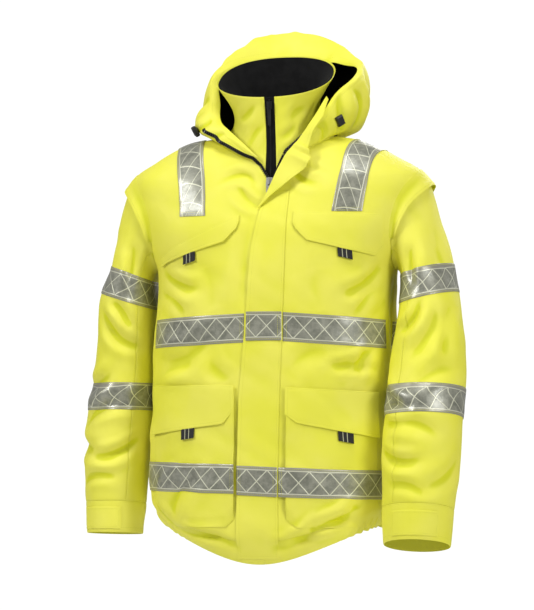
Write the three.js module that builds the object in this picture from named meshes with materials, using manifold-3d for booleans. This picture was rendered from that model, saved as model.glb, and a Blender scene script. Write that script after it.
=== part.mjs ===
// A hi-vis work jacket in the hollow form that it keeps when worn, with no wearer.
// Millimetres, +Z up. The front faces -Y, and +X is the wearer's left.
// The origin is the middle of the neck's base, between the two shoulders that carry the jacket.
import * as THREE from "three";
import { mergeVertices } from "three/addons/utils/BufferGeometryUtils.js";
import Module from "manifold-3d";

// Cloth and seams
const CLOTH = 2;
const FACING = 1.4;
const TAPE = 1.1;
const SEAM = 0.3;
const LAP = 0.45;

// Widths of the reflective tape and of the zips
const TAPE_WIDTH = 50;
const INNER_ZIP_GAP = 17;
const ZIP_TAPE = { shown: 3, under: 6, thick: 1 };

// Heights of the long edges, measured from the origin
const CENTRE_FRONT_X = 6;
const CHEST_BAND_TOP = -306;
const HEM_BAND_TOP = -566;
const CUFF_SEAM = 0.87;

const YELLOW = 0xe3e234;
const material = (color, roughness, metalness = 0) =>
  new THREE.MeshStandardMaterial({ color, roughness, metalness });
const SHELL = material(YELLOW, 0.75);
const REFLECTIVE = material(0xa3a692, 0.3);
const BLACK_CLOTH = material(0x0a0a09, 0.9);
const BLACK_PLASTIC = material(0x141414, 0.45);
const SILVER = material(0xb8b8b4, 0.35, 1);

// Body sections from the hem to the neck. Each ring is a superellipse: front, side and back are its
// heights there, half its half width, deep and rear its reach forwards and backwards, shift its centre.
const BODY = [
  { v: 0.0, front: -738, side: -700, back: -722, half: 190, deep: 144, rear: 140, shift: -3 },
  { v: 0.05, front: -704, side: -672, back: -694, half: 209, deep: 154, rear: 150, shift: -6 },
  { v: 0.12, front: -650, side: -638, back: -648, half: 217, deep: 157, rear: 154, shift: -8 },
  { v: 0.24, front: -560, side: -558, back: -560, half: 218, deep: 155, rear: 153, shift: -8 },
  { v: 0.38, front: -450, side: -450, back: -450, half: 216, deep: 152, rear: 150, shift: -6 },
  { v: 0.54, front: -330, side: -330, back: -328, half: 214, deep: 149, rear: 146, shift: -3 },
  { v: 0.68, front: -225, side: -225, back: -222, half: 213, deep: 144, rear: 142, shift: 0 },
  { v: 0.73, front: -187, side: -187, back: -182, half: 231, deep: 141, rear: 139, shift: 0 },
  { v: 0.78, front: -155, side: -150, back: -146, half: 250, deep: 137, rear: 135, shift: 0 },
  { v: 0.83, front: -131, side: -106, back: -114, half: 262, deep: 128, rear: 129, shift: 0 },
  { v: 0.88, front: -112, side: -58, back: -84, half: 263, deep: 118, rear: 120, shift: 0 },
  { v: 0.92, front: -91, side: -24, back: -54, half: 215, deep: 108, rear: 111, shift: 0 },
  { v: 0.96, front: -67, side: 3, back: -26, half: 160, deep: 99, rear: 101, shift: 0 },
  { v: 1.0, front: -40, side: 14, back: 4, half: 108, deep: 92, rear: 92, shift: 0 },
];
const SQUARENESS = 2.3;

// The armhole is an oval on the body surface: between these heights, this many degrees to each side.
const ARMHOLE = { bottom: 0.68, top: 0.88, spread: 19 };

// Soft creases pressed into the body: where they lie, how far they reach and how deep they are.
const BODY_CREASES = [
  { angle: 68, v: 0.61, acrossAngle: 9, acrossV: 0.018, depth: 3 },
  { angle: -68, v: 0.612, acrossAngle: 9, acrossV: 0.018, depth: 3 },
  { angle: 150, v: 0.36, acrossAngle: 18, acrossV: 0.035, depth: 4 },
  { angle: 208, v: 0.43, acrossAngle: 22, acrossV: 0.03, depth: 4 },
  { angle: 176, v: 0.1, acrossAngle: 26, acrossV: 0.02, depth: 4 },
];

// Sleeve sections from below the armhole to the cuff. across and along are half widths in X and Y,
// tilt is how far a ring drops for each millimetre towards the back.
const RIGHT_SLEEVE = [
  { t: 0.34, x: -274, y: 8, z: -300, across: 53, along: 76, tilt: 0 },
  { t: 0.52, x: -283, y: 10, z: -409, across: 57, along: 72, tilt: 0.02 },
  { t: 0.7, x: -293, y: 4, z: -520, across: 60, along: 68, tilt: 0.05 },
  { t: 0.8, x: -295, y: -4, z: -590, across: 57, along: 62, tilt: 0.08 },
  { t: 0.88, x: -295, y: -10, z: -642, across: 53, along: 57, tilt: 0.08 },
  { t: 1.0, x: -294, y: -16, z: -692, across: 50, along: 53, tilt: 0.08 },
];
const LEFT_SLEEVE = [
  { t: 0.34, x: 277, y: -28, z: -300, across: 56, along: 76, tilt: 0 },
  { t: 0.48, x: 278, y: -50, z: -380, across: 64, along: 74, tilt: 0.08 },
  { t: 0.62, x: 276, y: -78, z: -470, across: 69, along: 70, tilt: 0.15 },
  { t: 0.76, x: 270, y: -95, z: -560, across: 67, along: 66, tilt: 0.2 },
  { t: 0.88, x: 267, y: -105, z: -648, across: 62, along: 60, tilt: 0.22 },
  { t: 1.0, x: 266, y: -110, z: -704, across: 58, along: 57, tilt: 0.24 },
];
const SLEEVE_CREASES = [
  { angle: 60, t: 0.44, acrossAngle: 42, acrossT: 0.018, depth: 5 },
  { angle: 130, t: 0.47, acrossAngle: 36, acrossT: 0.016, depth: 4 },
  { angle: 250, t: 0.41, acrossAngle: 45, acrossT: 0.018, depth: 5 },
  { angle: 80, t: 0.76, acrossAngle: 45, acrossT: 0.018, depth: 5 },
  { angle: 230, t: 0.72, acrossAngle: 40, acrossT: 0.018, depth: 5 },
];

// The stand collar's rim and waist, above the neck seam.
const COLLAR = {
  rim: { front: 76, back: 174, half: 106, deep: 88, rear: 98, shift: -3 },
  waist: { front: 22, back: 84, half: 99, deep: 82, rear: 89, shift: -1 },
};

// Hood sections round the neck, from the wearer's left front edge past the back to the right front
// edge. Each has a distance from the neck's axis and a height at four places up the cloth.
const HOOD = [
  { angle: -344, low: [94, -35], high: [95.5, -31], top: [97, -27], tuck: [97, -25] },
  { angle: -328, low: [99, -22], high: [102, -12], top: [104, -3], tuck: [102.5, 0] },
  { angle: -310, low: [109, -4], high: [113, 10], top: [111, 28], tuck: [108, 31] },
  { angle: -290, low: [124, 16], high: [134, 46], top: [126, 84], tuck: [119, 86] },
  { angle: -270, low: [138, 28], high: [154, 68], top: [148, 116], tuck: [138, 120] },
  { angle: -248, low: [148, 30], high: [168, 84], top: [156, 150], tuck: [141, 146] },
  { angle: -222, low: [150, 32], high: [174, 100], top: [150, 192], tuck: [126, 178] },
  { angle: -198, low: [148, 30], high: [172, 104], top: [140, 214], tuck: [114, 188] },
  { angle: -172, low: [148, 28], high: [170, 104], top: [136, 218], tuck: [112, 190] },
  { angle: -148, low: [148, 28], high: [166, 98], top: [134, 204], tuck: [112, 182] },
  { angle: -124, low: [146, 28], high: [160, 84], top: [132, 168], tuck: [114, 156] },
  { angle: -100, low: [140, 28], high: [148, 68], top: [128, 124], tuck: [114, 120] },
  { angle: -80, low: [140, 24], high: [146, 46], top: [130, 76], tuck: [116, 78] },
  { angle: -62, low: [130, 12], high: [134, 23], top: [126, 36], tuck: [113, 38] },
  { angle: -44, low: [113, -8], high: [117, -3], top: [117, 4], tuck: [112, 7] },
  { angle: -26, low: [101, -26], high: [103, -23], top: [105, -19], tuck: [103, -16] },
  { angle: -10, low: [94, -37], high: [95.5, -34], top: [97, -31], tuck: [97, -29] },
];

const radians = THREE.MathUtils.degToRad;
const point = (x, y, z) => new THREE.Vector3(x, y, z);
const mix = THREE.MathUtils.lerp;

// A smooth curve through one column of a table, with rows at uneven steps of its key.
function column(rows, key, at, value) {
  const last = rows.length - 2;
  let i = 0;
  while (i < last && at > rows[i + 1][key]) i++;
  const [a, b] = [rows[i], rows[i + 1]];
  const span = b[key] - a[key];
  const s = THREE.MathUtils.clamp((at - a[key]) / span, 0, 1);
  const slope = (k) => {
    const [low, high] = [rows[Math.max(k - 1, 0)], rows[Math.min(k + 1, rows.length - 1)]];
    return (value(high) - value(low)) / (high[key] - low[key]);
  };
  const [s2, s3] = [s * s, s * s * s];
  return (2 * s3 - 3 * s2 + 1) * value(a) + (s3 - 2 * s2 + s) * span * slope(i)
    + (3 * s2 - 2 * s3) * value(b) + (s3 - s2) * span * slope(i + 1);
}

// One ring of a body section at an angle in degrees, 0 at the front and 90 at the wearer's left.
function ringPoint(row, angle) {
  const [sine, cosine] = [Math.sin(radians(angle)), Math.cos(radians(angle))];
  const reach = cosine > 0 ? row.deep : row.rear;
  const power = SQUARENESS;
  const sum = Math.abs(sine / row.half) ** power + Math.abs(cosine / reach) ** power;
  const radius = sum ** (-1 / power);
  const middle = cosine > 0 ? row.front : row.back;
  const height = mix(middle, row.side, sine * sine);
  return point(row.shift + radius * sine, -radius * cosine, height);
}

function angleBetween(a, b) {
  const turn = Math.abs(a - b) % 360;
  return Math.min(turn, 360 - turn);
}

const bell = (x) => Math.exp(-x * x);

function bodyPoint(angle, v) {
  const row = {};
  for (const name of ["front", "side", "back", "half", "deep", "rear", "shift"]) {
    row[name] = column(BODY, "v", v, (r) => r[name]);
  }
  let dent = 0;
  for (const crease of BODY_CREASES) {
    const across = angleBetween(angle, crease.angle) / crease.acrossAngle;
    dent += crease.depth * bell(across) * bell((v - crease.v) / crease.acrossV);
  }
  const p = ringPoint(row, angle);
  p.x -= dent * Math.sin(radians(angle));
  p.y += dent * Math.cos(radians(angle));
  return p;
}

// The outward normal of a surface whose first number runs anticlockwise and whose second runs up.
function normalOf(surface, a, b, step = 1e-3) {
  const round = surface(a + step, b).sub(surface(a - step, b));
  const rise = surface(a, b + step).sub(surface(a, b - step));
  return round.cross(rise).normalize();
}

const BODY_STEP = { angle: 0.4, v: 0.0015 };
function bodyNormal(angle, v) {
  const up = Math.min(v + BODY_STEP.v, 1);
  const down = Math.max(v - BODY_STEP.v, 0);
  const round = bodyPoint(angle + BODY_STEP.angle, v).sub(bodyPoint(angle - BODY_STEP.angle, v));
  const rise = bodyPoint(angle, up).sub(bodyPoint(angle, down));
  return round.cross(rise).normalize();
}
const bodyOffset = (angle, v, out) => bodyPoint(angle, v).addScaledVector(bodyNormal(angle, v), out);

// The body angle and height that show at a place (x, z) seen from the front, or from the back.
function angleAtX(x, v, fromBack = false) {
  const turned = (angle) => (fromBack ? 180 - angle : angle);
  let [low, high] = [-90, 90];
  for (let i = 0; i < 24; i++) {
    const middle = (low + high) / 2;
    if (bodyPoint(turned(middle), v).x < x) low = middle;
    else high = middle;
  }
  return turned((low + high) / 2);
}
function bodyAt(x, z, fromBack = false) {
  let [low, high] = [0, 1];
  for (let i = 0; i < 24; i++) {
    const v = (low + high) / 2;
    if (bodyPoint(angleAtX(x, v, fromBack), v).z < z) low = v;
    else high = v;
  }
  const v = (low + high) / 2;
  return { angle: angleAtX(x, v, fromBack), v };
}

// A closed wall of cloth over a grid: outer[i][j] and inner[i][j], i anticlockwise and j up.
function wall(outer, inner, closed = false) {
  const columns = outer.length;
  const rows = outer[0].length;
  const vertices = [...outer.flat(), ...inner.flat()];
  const index = [];
  const at = (layer, i, j) => layer * columns * rows + (i % columns) * rows + j;
  const quad = (a, b, c, d) => index.push(a, b, c, a, c, d);
  const steps = closed ? columns : columns - 1;
  for (let i = 0; i < steps; i++) {
    for (let j = 0; j < rows - 1; j++) {
      quad(at(0, i, j), at(0, i + 1, j), at(0, i + 1, j + 1), at(0, i, j + 1));
      quad(at(1, i, j), at(1, i, j + 1), at(1, i + 1, j + 1), at(1, i + 1, j));
    }
    quad(at(0, i, 0), at(1, i, 0), at(1, i + 1, 0), at(0, i + 1, 0));
    const top = rows - 1;
    quad(at(0, i, top), at(0, i + 1, top), at(1, i + 1, top), at(1, i, top));
  }
  for (let j = 0; j < rows - 1 && !closed; j++) {
    quad(at(0, 0, j), at(0, 0, j + 1), at(1, 0, j + 1), at(1, 0, j));
    const end = columns - 1;
    quad(at(0, end, j), at(1, end, j), at(1, end, j + 1), at(0, end, j + 1));
  }
  const geometry = new THREE.BufferGeometry();
  geometry.setAttribute("position", new THREE.Float32BufferAttribute(vertices.flatMap((p) => p.toArray()), 3));
  geometry.setIndex(index);
  geometry.computeVertexNormals();
  return geometry;
}

const jacket = new THREE.Group();
jacket.name = "hi_vis_jacket";
function add(name, geometry, finish) {
  const mesh = new THREE.Mesh(geometry, finish);
  mesh.name = name;
  jacket.add(mesh);
  return mesh;
}

const fractions = (steps) => Array.from({ length: steps + 1 }, (_, i) => i / steps);
function grid(columns, rows, place) {
  return columns.map((a) => rows.map((b) => place(a, b)));
}

// Cloth that lies on the body: where(a, b) gives the body angle and height of each grid point.
function bodyPiece(name, finish, columns, rows, where, low, high) {
  const layer = (out) => grid(columns, rows, (a, b) => {
    const { angle, v } = where(a, b);
    return bodyOffset(angle, v, out);
  });
  return add(name, wall(layer(high), layer(low)), finish);
}

// Cloth seen from the front, with its top and bottom edges as heights along x.
function patch(name, finish, edges, steps, low, high) {
  const [first, last] = [edges[0].x, edges[edges.length - 1].x];
  const straight = (x, name) => {
    let i = 0;
    while (i < edges.length - 2 && x > edges[i + 1].x) i++;
    const s = (x - edges[i].x) / (edges[i + 1].x - edges[i].x);
    return mix(edges[i][name], edges[i + 1][name], THREE.MathUtils.clamp(s, 0, 1));
  };
  const middle = (edges[0].top + edges[0].bottom) / 2;
  const [start, end] = [bodyAt(first, middle), bodyAt(last, middle)];
  const evenly = fractions(steps.across).map((a) => bodyPoint(mix(start.angle, end.angle, a), start.v).x);
  const stops = [...edges.map((edge) => edge.x), ...evenly.slice(1, -1)].sort((a, b) => a - b);
  const xs = stops.filter((x, i) => (i === 0 || x - stops[i - 1] > 2) && x < last - 2);
  xs.push(last);
  const where = (x, b) => bodyAt(x, mix(straight(x, "bottom"), straight(x, "top"), b));
  const rows = fractions(steps.up).map((b) => b ** (steps.crowd ?? 1));
  return bodyPiece(name, finish, xs, rows, where, low, high);
}

// Main body panels, cut round the armholes and sewn at the sides and shoulders
const armholeSpread = (v) => {
  const middle = (ARMHOLE.top + ARMHOLE.bottom) / 2;
  const reach = (ARMHOLE.top - ARMHOLE.bottom) / 2;
  return ARMHOLE.spread * Math.sqrt(Math.max(0, 1 - ((v - middle) / reach) ** 2));
};
const HEM_SEAM = 0.055;
const TURN_STEP = 18;
const panelRows = [];
for (const b of fractions(6)) panelRows.push(mix(HEM_SEAM, ARMHOLE.bottom, b));
for (let turn = TURN_STEP; turn < 180; turn += TURN_STEP) {
  panelRows.push(mix(ARMHOLE.bottom, ARMHOLE.top, (1 - Math.cos(radians(turn))) / 2));
}
for (const b of fractions(7)) panelRows.push(mix(ARMHOLE.top, 1, b));
const PANEL_COLUMNS = { front: 10, back: 18 };

// The front edges meet at the centre and part above the V.
const V_EDGES = {
  right: [{ v: 0, x: 0 }, { v: 0.925, x: 0 }, { v: 0.96, x: -4 }, { v: 1, x: -22 }],
  left: [{ v: 0, x: 0 }, { v: 0.925, x: 0 }, { v: 0.96, x: 10 }, { v: 1, x: 20 }],
};
function frontEdge(side, v) {
  const rows = V_EDGES[side];
  let i = 0;
  while (i < rows.length - 2 && v > rows[i + 1].v) i++;
  const s = THREE.MathUtils.clamp((v - rows[i].v) / (rows[i + 1].v - rows[i].v), 0, 1);
  const gap = side === "left" ? SEAM / 2 : -SEAM / 2;
  return CENTRE_FRONT_X + gap + mix(rows[i].x, rows[i + 1].x, s);
}

const SIDE_SEAM_ANGLE = 0.06;
for (const side of ["right", "left"]) {
  const sign = side === "left" ? 1 : -1;
  const where = (a, v) => {
    const edge = angleAtX(frontEdge(side, v), v);
    const seam = sign * (90 - armholeSpread(v) - SIDE_SEAM_ANGLE);
    return { angle: sign > 0 ? mix(edge, seam, a) : mix(seam, edge, a), v };
  };
  bodyPiece(`${side}_front`, SHELL, fractions(PANEL_COLUMNS.front), panelRows, where, -CLOTH, 0);
}
bodyPiece("back_panel", SHELL, fractions(PANEL_COLUMNS.back), panelRows, (a, v) => {
  const open = armholeSpread(v) + SIDE_SEAM_ANGLE;
  return { angle: mix(90 + open, 270 - open, a), v };
}, -CLOTH, 0);

// The hem casing, in three lengths. Its elastic gathers the cloth in waves at each side.
const hemMiddle = angleAtX(CENTRE_FRONT_X, HEM_SEAM);
const HEM_CASING = [
  { name: "hem_casing_right", from: -90, to: hemMiddle, columns: PANEL_COLUMNS.front },
  { name: "hem_casing_left", from: hemMiddle, to: 90, columns: PANEL_COLUMNS.front },
  { name: "hem_casing_back", from: 90, to: 270, columns: PANEL_COLUMNS.back },
];
const GATHER = { pitch: 6, reach: 25, depth: 2.4, stepsAWave: 4 };
const fromSide = (angle) => Math.min(angleBetween(angle, 90), angleBetween(angle, 270));
function gatherAt(angle) {
  const strength = THREE.MathUtils.smoothstep(GATHER.reach - fromSide(angle), 0, GATHER.reach * 0.6);
  return GATHER.depth * strength * Math.sin((2 * Math.PI * angle) / GATHER.pitch);
}
for (const part of HEM_CASING) {
  const [from, to] = [part.from + SIDE_SEAM_ANGLE, part.to - SIDE_SEAM_ANGLE];
  const seamAngles = fractions(part.columns).map((a) => mix(from, to, a));
  const angles = [];
  for (let i = 0; i < part.columns; i++) {
    const [low, high] = [seamAngles[i], seamAngles[i + 1]];
    const gathered = fromSide((low + high) / 2) < GATHER.reach;
    const steps = gathered ? Math.ceil(((high - low) * GATHER.stepsAWave) / GATHER.pitch) : 1;
    for (let k = 0; k < steps; k++) angles.push({ angle: mix(low, high, k / steps), low, high, s: k / steps });
  }
  angles.push({ angle: to, low: seamAngles[part.columns - 1], high: to, s: 1 });
  const seamRow = HEM_SEAM - 0.0005;
  const layer = (out) => grid(angles, [0, HEM_SEAM * 0.5, seamRow], ({ angle, low, high, s }, v) => {
    if (v < seamRow) return bodyOffset(angle, v, out + gatherAt(angle));
    return bodyOffset(low, v, out).lerp(bodyOffset(high, v, out), s);
  });
  add(part.name, wall(layer(0), layer(-CLOTH)), SHELL);
}

// Storm flap over the front zip, from the V down to the hem
const FLAP = [
  { z: -92, free: 6, stitched: 44 },
  { z: -111, free: -6, stitched: 44 },
  { z: -155, free: -16, stitched: 43 },
  { z: -189, free: -21, stitched: 42 },
  { z: -306, free: -25, stitched: 39 },
  { z: -454, free: -37, stitched: 34 },
  { z: -600, free: -40, stitched: 32 },
  { z: -728, free: -39, stitched: 32 },
];
const flapEdge = (z, name) => {
  let i = 0;
  while (i < FLAP.length - 2 && z < FLAP[i + 1].z) i++;
  const s = (FLAP[i].z - z) / (FLAP[i].z - FLAP[i + 1].z);
  return mix(FLAP[i][name], FLAP[i + 1][name], THREE.MathUtils.clamp(s, 0, 1));
};
const FLAP_BEND = -190;
const flapHeights = fractions(14).map((s) => mix(FLAP[FLAP.length - 1].z, FLAP_BEND, s ** 1.6));
for (const s of fractions(9).slice(1)) flapHeights.push(mix(FLAP_BEND, FLAP[0].z, s));
bodyPiece("storm_flap", SHELL, fractions(3), flapHeights, (a, z) =>
  bodyAt(mix(flapEdge(z, "free"), flapEdge(z, "stitched"), a), z), LAP, LAP + CLOTH);

// The flap's top is folded open on the wearer's left front, with its facing out.
const TURNBACK = [
  { x: 17, bottom: -88, top: -66 },
  { x: 26, bottom: -82, top: -48 },
  { x: 44, bottom: -70, top: -42 },
  { x: 60, bottom: -57, top: -36 },
  { x: 72, bottom: -44, top: -32 },
];
patch("flap_turnback", SHELL, TURNBACK, { across: 5, up: 3 }, LAP, LAP + CLOTH);

// Reflective bands round the body, over the flap and over the pockets
const POCKET_TOP = LAP + CLOTH;
const POCKET_FLAP_TOP = POCKET_TOP + LAP + CLOTH;
const band = (name, from, to, top, low) => {
  const levels = [{ x: from[0], top: from[1] }, { x: to[0], top: to[1] }];
  const edges = levels.map((edge) => ({ x: edge.x, top: edge.top, bottom: edge.top - top }));
  patch(name, REFLECTIVE, edges, { across: Math.round((to[0] - from[0]) / 14), up: 2 }, low, low + TAPE);
};
band("chest_band_right", [-207, -313], [-31, CHEST_BAND_TOP], TAPE_WIDTH, LAP);
band("chest_band_flap", [-22, CHEST_BAND_TOP + 3], [37, CHEST_BAND_TOP + 3], TAPE_WIDTH, LAP + CLOTH + LAP);
band("chest_band_left", [41.5, CHEST_BAND_TOP + 2], [203, -315], TAPE_WIDTH, LAP);
band("hem_band_right", [-213, -563], [-43, HEM_BAND_TOP], TAPE_WIDTH, POCKET_TOP + LAP);
band("hem_band_flap", [-37, -568], [30, -571], TAPE_WIDTH, LAP + CLOTH + LAP);
band("hem_band_left", [35, -571], [199, -577], TAPE_WIDTH, POCKET_TOP + LAP);

// Each back band runs from side seam to side seam.
const BACK_BANDS = [{ name: "chest_band_back", top: -314 }, { name: "hem_band_back", top: -570 }];
const backAngles = [91, ...fractions(34).map((s) => mix(95, 265, s)), 269];
for (const { name, top } of BACK_BANDS) {
  const heights = [top - TAPE_WIDTH, top].map((z) => bodyAt(0, z, true).v);
  bodyPiece(name, REFLECTIVE, backAngles, heights, (angle, v) => ({ angle, v }), LAP, LAP + TAPE);
}

// Tapes over the shoulders, from the front chest to the band across the back: x at each place
const SHOULDER_TAPES = [
  { name: "shoulder_tape_right", front: -128, crest: -146, back: -122, frontLow: -134 },
  { name: "shoulder_tape_left", front: 145, crest: 168, back: 124, frontLow: -129 },
];
const BACK_TAPE_LOW = -312;
const SHOULDER_LAP = 1.1;
// The height on the body where its shoulder seam stands at x
function crestAt(x) {
  let [low, high] = [ARMHOLE.top, 1];
  for (let i = 0; i < 24; i++) {
    const v = (low + high) / 2;
    if (Math.abs(bodyPoint(Math.sign(x) * 90, v).x) > Math.abs(x)) low = v;
    else high = v;
  }
  return (low + high) / 2;
}
for (const tape of SHOULDER_TAPES) {
  const sign = Math.sign(tape.crest);
  const stations = [];
  for (const s of fractions(13)) stations.push({ lowX: tape.front, lowZ: tape.frontLow, back: false, s: 1 - s });
  for (const s of fractions(16).slice(1)) stations.push({ lowX: tape.back, lowZ: BACK_TAPE_LOW, back: true, s });
  const where = (a, { lowX, lowZ, back, s }) => {
    const shift = mix(-TAPE_WIDTH / 2, TAPE_WIDTH / 2, a);
    const x = mix(tape.crest, lowX, s) + shift;
    const crest = crestAt(x);
    if (s === 0) return { angle: sign * 90, v: crest };
    const lowV = bodyAt(lowX + shift, lowZ, back).v;
    const v = mix(crest, lowV, s ** 2);
    const angle = angleAtX(x, v, back);
    return { angle: back && sign < 0 ? angle - 360 : angle, v };
  };
  bodyPiece(tape.name, REFLECTIVE, fractions(3), stations, where, SHOULDER_LAP, SHOULDER_LAP + TAPE);
}

// Flaps of the chest pockets and the patch pockets near the hem, each with a black pull tab
const CHEST_FLAPS = {
  right: [
    { x: -190, top: -203, bottom: -219 }, { x: -145, top: -180, bottom: -203 },
    { x: -68, top: -146, bottom: -181 }, { x: -45, top: -136, bottom: -158 },
    { x: -41, top: -134, bottom: -146 },
  ],
  left: [
    { x: 55, top: -129, bottom: -150 }, { x: 60, top: -129, bottom: -160 },
    { x: 79, top: -130, bottom: -180 }, { x: 190, top: -133, bottom: -205 },
    { x: 204, top: -134, bottom: -188 },
  ],
};
const LOWER_POCKETS = {
  right: [{ x: -200, top: -436, bottom: -676 }, { x: -58, top: -436, bottom: -674 }, { x: -44, top: -436, bottom: -660 }],
  left: [{ x: 46, top: -440, bottom: -660 }, { x: 62, top: -440, bottom: -674 }, { x: 192, top: -446, bottom: -676 }],
};
const LOWER_FLAPS = {
  right: [
    { x: -204, top: -429, bottom: -516 }, { x: -65, top: -430, bottom: -496 },
    { x: -45, top: -431, bottom: -474 },
  ],
  left: [
    { x: 44, top: -434, bottom: -480 }, { x: 64, top: -435, bottom: -495 },
    { x: 192, top: -441, bottom: -521 },
  ],
};
const PULL_TABS = [
  { name: "chest_tab_right", x: -131, top: -190, low: POCKET_TOP + LAP },
  { name: "chest_tab_left", x: 142, top: -187, low: POCKET_TOP + LAP },
  { name: "lower_tab_right", x: -138, top: -500, low: POCKET_FLAP_TOP + LAP },
  { name: "lower_tab_left", x: 149, top: -508, low: POCKET_FLAP_TOP + LAP },
];
const TAB = { width: 24, height: 24, thick: 2 };
for (const side of ["right", "left"]) {
  patch(`chest_flap_${side}`, SHELL, CHEST_FLAPS[side], { across: 10, up: 4 }, LAP, POCKET_TOP);
  patch(`lower_pocket_${side}`, SHELL, LOWER_POCKETS[side], { across: 10, up: 8, crowd: 1.6 }, LAP, POCKET_TOP);
  patch(`lower_flap_${side}`, SHELL, LOWER_FLAPS[side], { across: 10, up: 3 }, POCKET_TOP + LAP, POCKET_FLAP_TOP);
}
for (const { name, x, top, low } of PULL_TABS) {
  const half = TAB.width / 2;
  const edges = [{ x: x - half, top, bottom: top - TAB.height }, { x: x + half, top, bottom: top - TAB.height }];
  patch(name, BLACK_PLASTIC, edges, { across: 3, up: 3 }, low, low + TAB.thick);
}

// Armhole seam round each sleeve head: 0 degrees at the shoulder tip, 90 at the front, 180 below
const armholePlace = (sign, turn, outside = 0) => {
  const v = mix(ARMHOLE.bottom, ARMHOLE.top, (1 + Math.cos(radians(turn))) / 2);
  const spread = (ARMHOLE.spread - outside) * Math.sin(radians(turn));
  return { angle: sign * (90 - spread), v };
};
function armholeOutward(sign, turn) {
  const { angle, v } = armholePlace(sign, turn);
  const ahead = armholePlace(sign, turn + 2);
  const behind = armholePlace(sign, turn - 2);
  const along = bodyPoint(ahead.angle, ahead.v).sub(bodyPoint(behind.angle, behind.v));
  const normal = bodyNormal(angle, v);
  const away = along.cross(normal).normalize();
  const middle = bodyPoint(sign * 90, (ARMHOLE.top + ARMHOLE.bottom) / 2);
  if (away.dot(middle.sub(bodyPoint(angle, v))) < 0) away.negate();
  return { away, normal };
}

// A sleeve runs from the armhole seam through its rings to the end of the cuff.
function sleeveSurface(sign, rings) {
  const first = rings[0];
  const ring = (t, turn) => {
    const row = {};
    for (const name of ["x", "y", "z", "across", "along", "tilt"]) {
      row[name] = column(rings, "t", t, (r) => r[name]);
    }
    const forward = -Math.sin(radians(turn)) * row.along;
    return point(
      row.x + sign * Math.cos(radians(turn)) * row.across,
      row.y + forward,
      row.z - row.tilt * forward,
    );
  };
  return (turn, t) => {
    let p;
    if (t >= first.t) p = ring(t, turn);
    else {
      const { angle, v } = armholePlace(sign, turn);
      const { away } = armholeOutward(sign, turn);
      const start = bodyPoint(angle, v).addScaledVector(away, SEAM);
      const end = ring(first.t, turn);
      const low = (1 - Math.cos(radians(turn))) / 2;
      const launch = away.clone().multiplyScalar(1 - low);
      launch.add(point(sign * (0.25 + low), 0, -0.85 * (1 - low)));
      launch.normalize().multiplyScalar(mix(150, 60, low));
      const land = ring(first.t + 0.02, turn).sub(end).multiplyScalar(mix(0.3, 0.12, low) / 0.02);
      const s = t / first.t;
      const [s2, s3] = [s * s, s * s * s];
      p = start.multiplyScalar(2 * s3 - 3 * s2 + 1)
        .addScaledVector(launch, s3 - 2 * s2 + s)
        .addScaledVector(end, 3 * s2 - 2 * s3)
        .addScaledVector(land, s3 - s2);
    }
    for (const crease of SLEEVE_CREASES) {
      const across = angleBetween(turn, crease.angle) / crease.acrossAngle;
      const dent = crease.depth * bell(across) * bell((t - crease.t) / crease.acrossT);
      p.x -= sign * dent * Math.cos(radians(turn));
      p.y += dent * Math.sin(radians(turn));
    }
    return p;
  };
}

// Seen from outside, the right sleeve's turn runs clockwise, so its normal is turned over.
function sleeveNormal(surface, sign, turn, t) {
  const [late, early] = [Math.min(t + 0.004, 1), Math.max(t - 0.004, 0)];
  const round = surface(turn + 1, t).sub(surface(turn - 1, t));
  const down = surface(turn, late).sub(surface(turn, early));
  const normal = round.cross(down).normalize().multiplyScalar(sign);
  if (t > 0.004) return normal;
  const low = (1 - Math.cos(radians(turn))) / 2;
  return armholeOutward(sign, turn).normal.multiplyScalar(1 - low * 0.5).add(point(0, 0, -low)).normalize();
}

const SLEEVE_COLUMNS = 360 / TURN_STEP;
function sleevePiece(name, finish, sign, surface, turns, times, low, high, closed = false) {
  const order = sign > 0 ? [...turns].reverse() : turns;
  const rows = [...times].reverse();
  const layer = (out) => grid(order, rows, (turn, t) =>
    surface(turn, t).addScaledVector(sleeveNormal(surface, sign, turn, t), out));
  add(name, wall(layer(high), layer(low), closed), finish);
}
const turnsFrom = (from, to) => {
  const steps = Math.round((to - from) / (360 / SLEEVE_COLUMNS));
  return fractions(steps).map((s) => mix(from, to, s));
};
const roundTurns = turnsFrom(0, 360).slice(0, -1);
const SLEEVE_SEAM_TURN = 0.15;

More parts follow.
